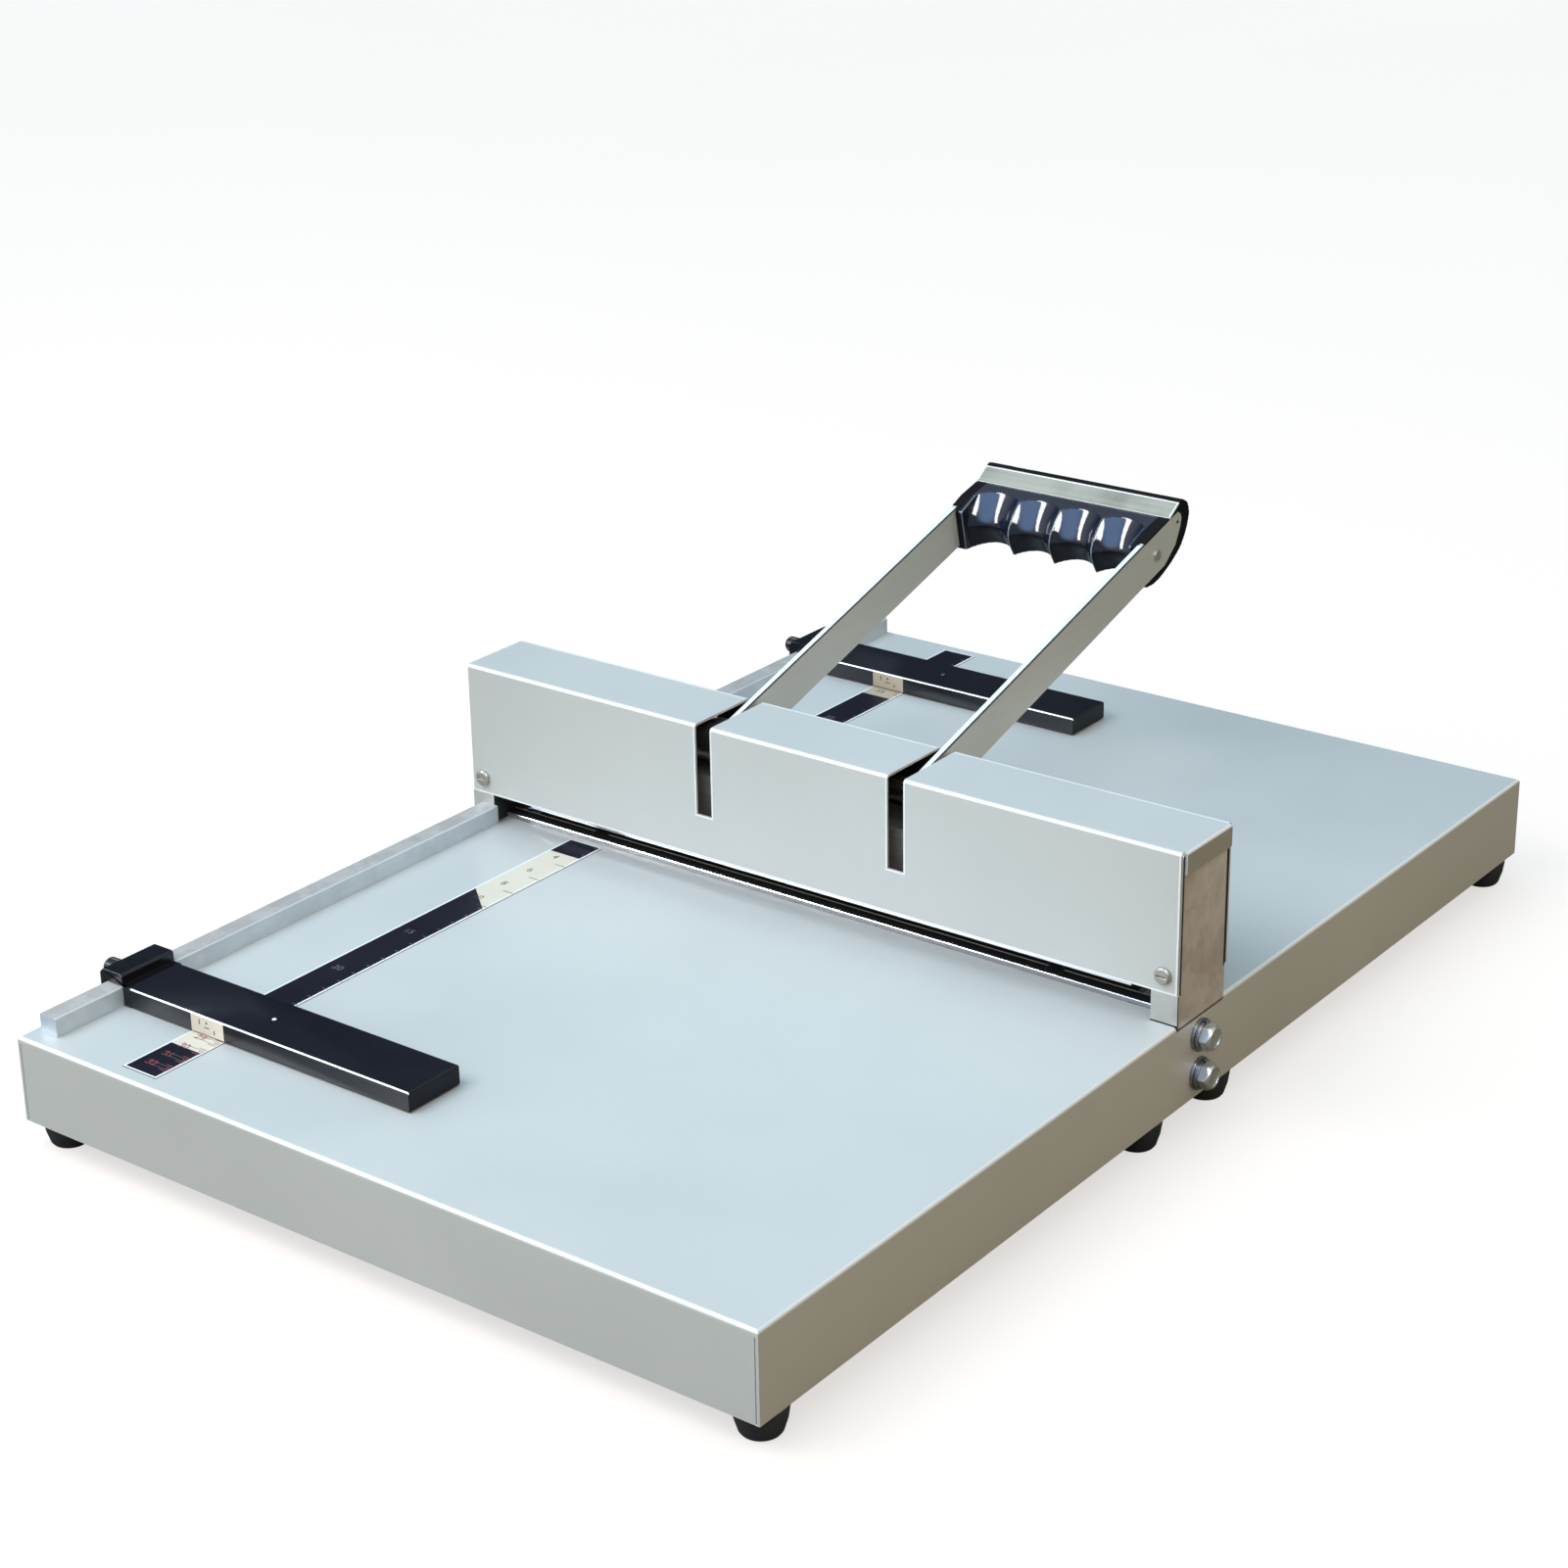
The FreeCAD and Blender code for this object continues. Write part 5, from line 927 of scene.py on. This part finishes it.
# %% Foot
FOOT_RADIUS, FOOT_TALL = 12.0, 14
RINGS = {0.0: 8.38, 1.4: 9.5, 4.3: 10.36, 7.28: 11.25, 10.0: 11.63}
foot = rod("foot", "z", FOOT_RADIUS, 0, FOOT_TALL, (0, 0), sides=40)
saw(foot, "z", *list(RINGS)[1:], 12.6)
for level, radius in RINGS.items():
    with chosen(foot, "points", lambda spot: same(spot.z, level)):
        grow((radius / FOOT_RADIUS, radius / FOOT_RADIUS, 1), (0, 0, level))
with chosen(foot, "faces", lambda spot, way: way.z < -0.9 and spot.z < 0.5):
    inset(2.78)
    pull(0, 0, 5)
outward(foot)
ease(foot, 0.35, 2, 50)

# %% Eight feet
for row, y in (("front", -322.5), ("mid_front", -37.0), ("mid_rear", 25.0), ("rear", 322.5)):
    for side, x in (("left", -203.5), ("right", 203.5)):
        place = row + "_" + side
        put(again(foot, "rubber_" + place, (x, y, 0)), "base", "rubber", rubber, "foot_" + place)
bpy.data.objects.remove(foot)

# %% [markdown]
# ## Side frames
# Two thick ground plates carry the head. Their solids already have every bore and step, so the piece is
# a copy of the solid: its loose triangles are merged into whole faces, and then its edges can be eased.
# Saw lines set off the shadow that the cover and the table throw on them, which is painted near black, as
# are their inner faces and a thin line along the front edge. The front faces get a greyer, cooler copy of
# the steel, which is painted light.

# %% Side frames
OUTER_X, INNER_X = 214.5, 201.5
PLATE_CORNER, LIP_FRONT, LIP_REAR = -21.9, -20.2, 18.0
GAP_LOW, GAP_HIGH = TABLE - 1.3, TABLE + 0.5
plate_finish = [plate_steel, plate_painted_light, painted_edge_shadow]
for side in ("left", "right"):
    side_plate = traced("side_plate_" + side, "side_frame_" + side, 0.35)
    saw(side_plate, "z", GAP_LOW, GAP_HIGH, COVER_LOW)
    saw(side_plate, "y", PLATE_CORNER, LIP_FRONT, LIP_REAR)
    put(side_plate, "base", "frame_steel", plate_finish, "side_frame_" + side, tests=[
        # Painted light: the front faces in the greyer copy of the steel.
        lambda spot, way: way.y < -0.5,
        # Painted shade: inner faces, the gap at the table, the front corner and the ends beyond the cover's
        # lips.
        lambda spot, way: (abs(way.x) > 0.9 and abs(spot.x) < INNER_X) or spot.z < GAP_LOW
        or (spot.z < GAP_HIGH and way.y < -0.5) or (spot.y < PLATE_CORNER and abs(spot.x) > OUTER_X)
        or (not LIP_FRONT < spot.y < LIP_REAR and abs(spot.x) > OUTER_X and spot.z > COVER_LOW)])

# %% [markdown]
# ## Bolts and washers
# A hexagon bolt's head is a six-sided prism whose corners are turned off by a cone. The intersection of the
# two is what the lathe does. The washers start as open tubes that get a wall; the spring washer is a
# square wire spun almost round, its two ends a little apart.

# %% Bolt
ACROSS_FLATS, CONE_RADIUS, HEAD_END = 11.9, 7.7, 223.9
bolt = rod("frame_bolt", "x", ACROSS_FLATS / math.sqrt(3), 218.6, HEAD_END, (0, 0), sides=6)
corner_cone = rod("corner_cone", "x", CONE_RADIUS, 212.6, HEAD_END, (0, 0), sides=48)
with chosen(corner_cone, "points", lambda spot: spot.x > 223):
    grow((1, 5.3 / CONE_RADIUS, 5.3 / CONE_RADIUS), (0, 0, 0))
with chosen(corner_cone, "points", lambda spot: spot.x < 213):
    grow((1, 1.75, 1.75), (0, 0, 0))
cut_with(bolt, corner_cone, "INTERSECT")
with chosen(bolt, "faces", lambda spot, way: way.x > 0.9):
    inset(1.1)
    pull(-0.45, 0, 0)
shank = rod("shank", "x", 4.0, 183.0, 219.0, (0, 0), sides=24)
ease(bolt, 0.22, 2, 25)
ease(shank, 0.3, 1, 40)
bolt = join("frame_bolt", [bolt, shank])

# %% Washer and spring washer
washer = rod("flat_washer", "x", 8.2, 215.0, 216.6, (0, 0), sides=48, ends="NOTHING")
finish_with(washer, "SOLIDIFY", thickness=4.1 * MM, offset=-1)
outward(washer)
ease(washer, 0.3, 2, 40)
SPRING_WASHER_X = 217.6
spring_washer = sheet("spring_washer", (SPRING_WASHER_X, 0.9, 5.7), 1.9, 3.15, upright=True)
with all_chosen(spring_washer):
    bpy.ops.mesh.spin(steps=44, angle=math.radians(344), center=(SPRING_WASHER_X * MM, 0, 0),
                      axis=(1, 0, 0), dupli=False)
outward(spring_washer)
ease(spring_washer, 0.2, 1, 50)

# %% Four of each
BOLT_Y = -2.0
BOLT_SPOTS = ((1, 45.6), (1, 25.6), (-1, 45.6), (-1, 25.6))
for thing, label, finish, node in ((bolt, "hex_bolts", zinc, "frame_bolts"),
                                   (washer, "flat_washers", washer_steel, "frame_washers"),
                                   (spring_washer, "spring_washers", washer_steel, "frame_spring_washers")):
    copies = [again(thing, "%s_%d" % (label, i), (0, BOLT_Y, z), (side, 1, 1))
              for i, (side, z) in enumerate(BOLT_SPOTS)]
    put(join(label, copies), "base", "zinc_fastener", finish, node)
    bpy.data.objects.remove(thing)

# %% [markdown]
# ## Cover screws
# Four pan-head screws with a driver slot. The dome is a cylinder whose outer edge is bevelled wide and
# round, and the slot is cut by a thin bar. The slot's floor and the ring under the head are painted black,
# a painted shade.

# %% Pan-head screw
HEAD_FRONT, SCREW_Z, SLOT_FLOOR = -25.0, 81.6, -23.9
screw = rod("cover_screw", "y", 4.35, HEAD_FRONT, -22.6, (0, SCREW_Z), sides=48)
with chosen(screw, "edges", ends_at(y=HEAD_FRONT)):
    round_off(1.5, 6)
saw(screw, "y", -23.15)
cut_with(screw, block("driver", (-2.6, HEAD_FRONT - 1, SCREW_Z - 0.45), (2.6, SLOT_FLOOR, SCREW_Z + 0.45)))
ease(screw, 0.12, 1, 35)
screw_finish = [warm_zinc, black_and_painted_shade]
# Painted shade: the ring under the head and the slot are black.
tint(screw, screw_finish, lambda spot, way: spot.y > -23.2 or (
    abs(spot.x) < 2.55 and abs(spot.z - SCREW_Z) < 0.5 and (spot.y > -24.5 or abs(way.z) > 0.9)))
stem = rod("stem", "y", 2.0, -23.0, -12.6, (0, SCREW_Z), sides=20)
ease(stem, 0.2, 1, 40)
screw = join("cover_screw", [screw, stem])
heads = [again(screw, "cover_screw_%d" % i, (x, 0, 0), (1, side, 1))
         for i, (x, side) in enumerate(((-207, 1), (207, 1), (-207, -1), (207, -1)))]
put(join("pan_head_screws", heads), "base", "zinc_fastener", screw_finish, "cover_screws")
bpy.data.objects.remove(screw)

# %% [markdown]
# ## Die, blade beam and blade
# Under the cover's lower edge lies a bright line: the die's rounded front edge, then a black gap, then
# the beam's lower edge. The solids have these shapes, and the lines are painted: a polished finish with
# a painted highlight on the die's rounded front and on the beam's lower front, painted shade in black on
# the die's top and the beam's lower part, and a painted highlight on a thin land strip of the die's top.
# The die's front land is pulled out to the side frames, beside the return springs' seats.

# %% Die
LAND_FRONT, LAND_REAR, LAND_REACH, DIE_END = -7.1, -6.0, 16.3, 183
die = traced("grooved_die", "creasing_die", 0)
saw(die, "y", LAND_FRONT, LAND_REAR)
for side in (-1, 1):
    with chosen(die, "faces", lambda spot, way: way.x * side > 0.9 and spot.x * side > DIE_END
                and spot.y < LAND_REAR):
        pull(side * LAND_REACH, 0, 0)
ease(die, 0.15, 1, 35)
put(die, "base", "tool_steel", [tool_steel, polished_painted_highlight, black_and_painted_shade, painted_line_highlight], "creasing_die", tests=[
    # Painted highlight on the polished front chamfer, painted shade in black on the top, and a painted
    # highlight on the land strip.
    lambda spot, way: 0.35 < way.z < 0.93 and way.y < -0.2,
    lambda spot, way: way.z > 0.93,
    lambda spot, way: way.z > 0.93 and LAND_FRONT < spot.y < LAND_REAR])

# %% Beam and blade
BEAM_EDGE, BEAM_DARK = 66.9, 73.6
beam = traced("blade_bar", "blade_beam", 0.4)
saw(beam, "z", BEAM_EDGE, BEAM_DARK)
put(beam, "blade_carrier", "machined_steel", [beam_steel, black_and_painted_shade, polished_painted_highlight], "blade_beam", tests=[
    # Painted shade in black on the beam's lower part, and a painted highlight on the polished strip at its
    # lower front.
    lambda spot, way: spot.z < BEAM_DARK,
    lambda spot, way: spot.z < BEAM_EDGE and abs(way.z) < 0.5 and way.y < -0.2])
blade = traced("blade_strip", "creasing_blade", 0.08, 1)
put(blade, "blade_carrier", "tool_steel", tool_steel, "creasing_blade")

# %% [markdown]
# ## Return springs
# A coil spring is a circle of wire swept round an axis as it climbs. The Screw modifier does just that. The
# springs stay with the base.

# %% Springs
WIRE, COIL, TURNS = 0.7, 4.2, 5
SPRING_LOW, SPRING_TOP = 57.45, 75.95
rise = (SPRING_TOP - SPRING_LOW - 2 * WIRE) / TURNS
for side, x in (("left", -193.3), ("right", 193.3)):
    start()
    bpy.ops.mesh.primitive_circle_add(vertices=14, radius=WIRE * MM, fill_type="NOTHING",
                                      location=(COIL * MM, 0, (SPRING_LOW + WIRE) * MM),
                                      rotation=(math.pi / 2, 0, 0))
    spring = fresh("coil_spring_" + side)
    finish_with(spring, "SCREW", angle=2 * math.pi, screw_offset=rise * MM, iterations=TURNS, steps=36,
                render_steps=36, axis="Z", use_merge_vertices=False)
    bpy.context.tool_settings.mesh_select_mode = (False, True, False)
    with all_chosen(spring):
        bpy.ops.mesh.select_all(action="DESELECT")
        bpy.ops.mesh.select_non_manifold()
        bpy.ops.mesh.edge_face_add()
    spring.location = (x * MM, 0, 0)
    settle(spring)
    outward(spring)
    ease(spring, 0, angle=50)
    put(spring, "base", "spring_steel", spring_wire, "return_spring_" + side)
    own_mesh(spring)

# %% [markdown]
# ## Handle arms
# Two flat bars tilted back at rest. They keep the solids' outline with a small round on every edge. The
# upper edge face carries a near-white painted highlight, and a painted shade line runs along its outer side.

# %% Arms


def upward(tilt):
    """The direction that is up for a piece tilted back by some degrees."""
    return Vector((0, -math.sin(math.radians(tilt)), math.cos(math.radians(tilt))))


ARM_UP = upward(ARM_TILT)
for side in ("left", "right"):
    arm = traced("flat_arm_" + side, "handle_arm_" + side, 0.65)
    rim = max(v.co.x for v in arm.data.vertices) / MM - 1.25
    saw(arm, "x", rim)
    put(arm, "handle", "frame_steel", [arm_steel, painted_line_highlight, painted_edge_shadow], "handle_arm_" + side, tests=[
        # Painted highlight on the upper edge face, and a painted shade line along the outer side.
        lambda spot, way: way.dot(ARM_UP) > 0.95 and spot.x < rim,
        lambda spot, way: way.dot(ARM_UP) > 0.25 and spot.x > rim])

# %% [markdown]
# ## The grip
# A moulded bar with four finger grooves. Its ridges must be soft, as plastic leaves a mould, yet its gloss
# shows every facet. So a copy of the solid is rebuilt with an even net of small faces, which rounds
# every ridge alike, and then smoothed a little. Its faces get their finish by direction: gloss in the
# grooves, satin on the flat top, a darker copy below that is painted shade, and a matt shell at the ends
# and behind the strip.

# %% Grip
GRIP_UP = upward(GRIP_TILT)
GRIP_BACK = Vector((0, GRIP_UP.z, -GRIP_UP.y))
strip_rear = (Vector(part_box("grip_strip")[1]) / MM).dot(GRIP_BACK)
grip = traced("finger_grip", "grip_body", 0)
finish_with(grip, "REMESH", mode="VOXEL", voxel_size=0.55 * MM, use_smooth_shade=True)
finish_with(grip, "SMOOTH", factor=0.5, iterations=3)
only(grip)
bpy.ops.object.shade_smooth()
grip_finish = [moulding, moulding_flat, moulding_shade_below, shell_black]
put(grip, "handle", "grip_plastic", grip_finish, "grip_body", tests=[
    lambda spot, way: way.dot(GRIP_UP) > 0.975,
    # Painted shade: the underside in the darker copy of the moulding.
    lambda spot, way: way.z < -0.04,
    lambda spot, way: abs(spot.x) > 53.4 or spot.dot(GRIP_BACK) > strip_rear - 0.3])

# %% Grip strip
plate = traced("grip_strip_plate", "grip_strip", 0.2, 1)
with chosen(plate, "faces", lambda spot, way: way.dot(GRIP_UP) > 0.98):
    inset(0.75)
plate_rear = max(face.center.y for face in plate.data.polygons) / MM
put(plate, "handle", "aluminium", [strip_metal, painted_line_highlight], "grip_strip", tests=[
    # Painted highlight: a near-white line along the strip's ends and rear edge.
    lambda spot, way: (abs(spot.x) > 59.2 or spot.y > plate_rear - 1.2) and way.dot(GRIP_UP) > 0.5])

# %% [markdown]
# ## Side-lay rails
# Drawn aluminium bars along the left edge. The stops slide on them and wear their tops dull.

# %% Rails
for end in ("front", "rear"):
    rail = traced("lay_rail_" + end, "side_lay_rail_" + end, 0.3)
    put(rail, "base", "aluminium", [rail_metal, worn_rail], "side_lay_rail_" + end,
        tests=[lambda spot, way: way.z > 0.9])

# %% [markdown]
# ## Rulers
# Printed strips lie on the table. The black cells, the light cells and the white border are faces of the
# strip itself, divided by saw lines. The print on them is thin ink: short lines and plain numbers.

# %% Ruler strips
RULER_LEFT, RULER_RIGHT, RULER_TOP, BORDER = -152.5, -131.0, 57.8, 1.1
SLANT_Y, SLANT = -101.0, 8.2
CELLS = {"front": [(SLANT_Y, -34.8), (-301.0, -283.0)], "rear": [(243.0, 257.0)]}


def in_cell(end, y):
    return any(low < y < high for low, high in CELLS[end])


def inside(spot):
    return RULER_LEFT + BORDER < spot.x < RULER_RIGHT - BORDER


for end, low, high in (("front", -329.8, -17.3), ("rear", 17.3, 329.8)):
    ruler = block("ruler_strip_" + end, (RULER_LEFT, low, TABLE), (RULER_RIGHT, high, RULER_TOP))
    saw(ruler, "x", RULER_LEFT + BORDER, RULER_RIGHT - BORDER)
    saw(ruler, "y", low + BORDER, high - BORDER, *[place for cell in CELLS[end] for place in cell])
    if end == "front":
        for side, middle in ((1, RULER_LEFT), (-1, RULER_RIGHT)):
            with chosen(ruler, "points", lambda spot: same(spot.y, SLANT_Y)
                        and abs(spot.x - middle) < BORDER + 0.1):
                bpy.ops.transform.translate(value=(0, side * SLANT * MM, 0))
    ruler_finish = [strip_ink, cream_ink if end == "front" else tan_ink, label_white]
    tint(ruler, ruler_finish,
         lambda spot, way: way.z > 0.9 and in_cell(end, spot.y) and inside(spot),
         lambda spot, way: way.z > 0.9 and not (inside(spot) and low + BORDER < spot.y < high - BORDER))
    ease(ruler, 0.08, 1, 50)
    put(ruler, "base", "ruler_strip", ruler_finish, "ruler_" + end)

# %% Ticks and numbers
PRINT = {"pale": pale_ink, "dark": dark_ink, "red": red_ink}
PRINT_TOP = RULER_TOP + 0.03


def tick(shade, y, length, width):
    """A short printed line from the strip's right edge."""
    line = sheet("tick", (RULER_RIGHT - 0.5 - length / 2, y, PRINT_TOP), length, width)
    line.data.materials.append(PRINT[shade])
    rows[shade].append(line)


def number(shade, text, x, y, tall):
    """A plain number printed on the strip."""
    start()
    bpy.ops.object.text_add(location=(0, 0, 0))
    word = bpy.context.object
    word.name = "digits"
    word.data.body = text
    word.data.size = tall * 1.35 * MM
    word.data.align_x = word.data.align_y = "CENTER"
    only(word)
    bpy.ops.object.convert(target="MESH")
    word = bpy.context.object
    word.location = (x * MM, y * MM, PRINT_TOP * MM)
    settle(word)
    word.data.materials.clear()
    word.data.materials.append(PRINT[shade])
    rows[shade].append(word)


def tone(end, y):
    """Which ink shows at a place on the strip."""
    if in_cell(end, y):
        return "red" if y < -280 else "dark"
    return "red" if y < -303 else "pale"


# %% Front and rear print
for end, way in (("front", -1), ("rear", 1)):
    rows = {shade: [] for shade in PRINT}
    for step in range(20, 326, 10):
        place = way * float(step)
        shade = tone(end, place)
        text = str(step // 10)
        if shade == "dark" and end == "front" and step < 110:
            if step % 20 == 0:
                number(shade, text, -143.5, place, 4.6)
                tick(shade, place - 7.0, 6.5, 0.5)
            continue
        tick(shade, place, 3.0, 0.5)
        if shade == "red":
            for more in (-2.5, 2.5):
                tick(shade, place + more, 5.0, 0.4)
                tick("pale", place + more / 2, 16.0, 0.3)
        if shade != "pale" or step % 50 == 0:
            number(shade, text, -143.8, place, 4.4)
    for shade, things in rows.items():
        if things:
            put(join("ruler_print_%s_%s" % (end, shade), things), "base", "ruler_strip", PRINT[shade])

# %% [markdown]
# ## Paper stops
# Each stop is a black bar on a block that clamps the rail with a thumb knob. The bars keep their solids'
# outline with rounder edges; their upper front line is a painted highlight, their top is duller than their
# front, and a pale label with four small marks sits on the front face over the ruler. The block's shoulder
# beside the bar is cut down to the bar's height, and its front chamfer carries a grey painted highlight.

# %% Stop bars and blocks
LABEL_LEFT, LABEL_RIGHT = RULER_LEFT + 0.5, RULER_RIGHT + 0.2
MARKS = ((-146.5, 64.2, 0.6, 2.6), (-141.8, 62.2, 3.4, 0.5), (-137.0, 61.0, 0.6, 2.2),
         (-141.8, 64.6, 1.2, 0.9))  # x, z, width and height
SHOULDER_X, SHOULDER_Z = -197.9, 67.9
for end in ("front", "rear"):
    bar = traced("stop_bar_" + end, end + "_stop_bar", 0.35)
    saw(bar, "x", LABEL_LEFT, LABEL_RIGHT)
    bar_finish = [enamel, painted_line_highlight, cream_ink if end == "front" else tan_ink, enamel_top]
    put(bar, end + "_stop", "stop_black", bar_finish, end + "_stop_bar", tests=[
        # Painted highlight on the upper front chamfer.
        lambda spot, way: way.z > 0.3 and way.y < -0.3,
        lambda spot, way: way.y < -0.97 and LABEL_LEFT < spot.x < LABEL_RIGHT,
        lambda spot, way: way.z > 0.9 or way.x > 0.9])
    face = min(v.co.y for v in bar.data.vertices) / MM - 0.03
    marks = [sheet("label_mark", (x, face, z), wide, tall, upright=True) for x, z, wide, tall in MARKS]
    put(join("label_marks_" + end, marks), end + "_stop", "ruler_strip", dark_ink)
    stop_block = traced("stop_block_" + end, end + "_stop_block", 0)
    cut_with(stop_block, block("shoulder", (SHOULDER_X, -400, SHOULDER_Z), (-180, 400, 90)))
    ease(stop_block, 1.0, 4, 35)
    put(stop_block, end + "_stop", "stop_black", [enamel, enamel_painted_highlight], end + "_stop_block", tests=[
        # Painted highlight on the front chamfer.
        lambda spot, way: 0.3 < way.z < 0.95 and way.y < -0.3])

# %% [markdown]
# A small rivet joins bar and block. Its head is flush and painted over. Its drilled middle is drawn
# white on the front stop, a painted highlight, and grey on the rear.

# %% Stop rivets
RIVET_X, STOP_Y, BAR_TOP = -114.0, 271.0, 68.0
rivet = rod("stop_rivet", "z", 2.0, 62.7, BAR_TOP, (RIVET_X, 0), sides=32)
with chosen(rivet, "faces", lambda spot, way: way.z > 0.9):
    inset(0.9)
    pull(0, 0, 0.25)
ease(rivet, 0.15, 2, 40)
# Painted highlight: the front rivet's middle is near white.
for end, y, rivet_middle in (("front", -STOP_Y, label_white), ("rear", STOP_Y, pale_ink)):
    head = again(rivet, "stop_rivet_head_" + end, (0, y, 0))
    put(head, end + "_stop", "zinc_fastener", [enamel_top, rivet_middle], end + "_stop_rivet", tests=[
        lambda spot, way: spot.z > BAR_TOP and (spot.x - RIVET_X) ** 2 + (spot.y - y) ** 2 < 1.3])
bpy.data.objects.remove(rivet)

# %% [markdown]
# The thumb knob is a turned black head with straight ribs and a metal end. Every second side face of the
# cylinder is sunk a little, which leaves the ribs. On the front knob the metal end is given the black
# enamel, a painted shade.

# %% Thumb knob
KNOB_RADIUS, KNOB_Z = 4.6, 64.4
KNOB_END, RIM, RIB_OUT, RIB_IN, KNOB_NECK = -226.0, -225.4, -224.4, -214.3, -213.3
knob = rod("thumb_knob", "x", KNOB_RADIUS, KNOB_END, KNOB_NECK, (0, 0), sides=40)
saw(knob, "x", RIM, RIB_OUT, RIB_IN)
for place, radius in ((KNOB_END, 3.3), (RIM, 3.86), (KNOB_NECK, 3.75)):
    with chosen(knob, "points", lambda spot: same(spot.x, place)):
        grow((1, radius / KNOB_RADIUS, radius / KNOB_RADIUS), (place, 0, 0))
with chosen(knob, "faces", lambda spot, way: RIB_OUT < spot.x < RIB_IN
            and int(math.floor((math.degrees(math.atan2(spot.z, spot.y)) + 360) / 9)) % 2 == 0):
    bpy.ops.mesh.extrude_faces_move(MESH_OT_extrude_faces_indiv={"mirror": False},
                                    TRANSFORM_OT_shrink_fatten={"value": -0.32 * MM})
with chosen(knob, "faces", lambda spot, way: way.x < -0.9):
    inset(0.8)
    pull(0.4, 0, 0)
tint(knob, [enamel, zinc], lambda spot, way: spot.x < RIM + 0.05)
ease(knob, 0.12, 1, 35)
stud = rod("stud", "x", 2.0, -213.6, -209.3, (0, 0), sides=20)
ease(stud, 0.2, 1, 40)
tint(stud, [enamel, zinc], lambda spot, way: True)
knob = join("thumb_knob", [knob, stud])
# The front knob's metal end gets the black enamel: painted shade.
for end, y, knob_end_finish in (("front", -STOP_Y, enamel), ("rear", STOP_Y, zinc)):
    put(again(knob, "thumb_knob_" + end, (0, y, KNOB_Z)), end + "_knob", "stop_black", [enamel, knob_end_finish],
        end + "_stop_knob")
bpy.data.objects.remove(knob)

# %% [markdown]
# ## Solids that already look right
# Shaft, hubs, cams, bushes, pins and small screws keep their solids and get the finishes above.

# %% Carried-over solids
FINISH_OF = {"sheet_paint": paint, "frame_steel": plate_steel, "machined_steel": machined,
             "tool_steel": tool_steel, "spring_steel": spring_wire, "zinc_fastener": zinc,
             "aluminium": rail_metal, "bronze": bronze, "rubber": rubber, "ruler_strip": strip_ink,
             "stop_black": enamel, "grip_plastic": moulding}
# The die's screws are blackened steel; the same black is painted shade where it is used elsewhere.
SPECIAL = {"die_screws": black_and_painted_shade, "grip_rivets": warm_zinc}
for name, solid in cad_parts.items():
    slots = solid.data.materials
    if not slots:
        slots.append(machined)
    finish = SPECIAL.get(name, FINISH_OF.get(slots[0].name.split(".")[0], machined))
    for spot in range(len(slots)):
        slots[spot] = finish
print(sum(1 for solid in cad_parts.values() if not solid.hide_render), "solids stay as they are")

# %% [markdown]
# ## Last step
# The dressed machine is meant to fill the same box as the imported one.

# %% Leave nothing selected
start()
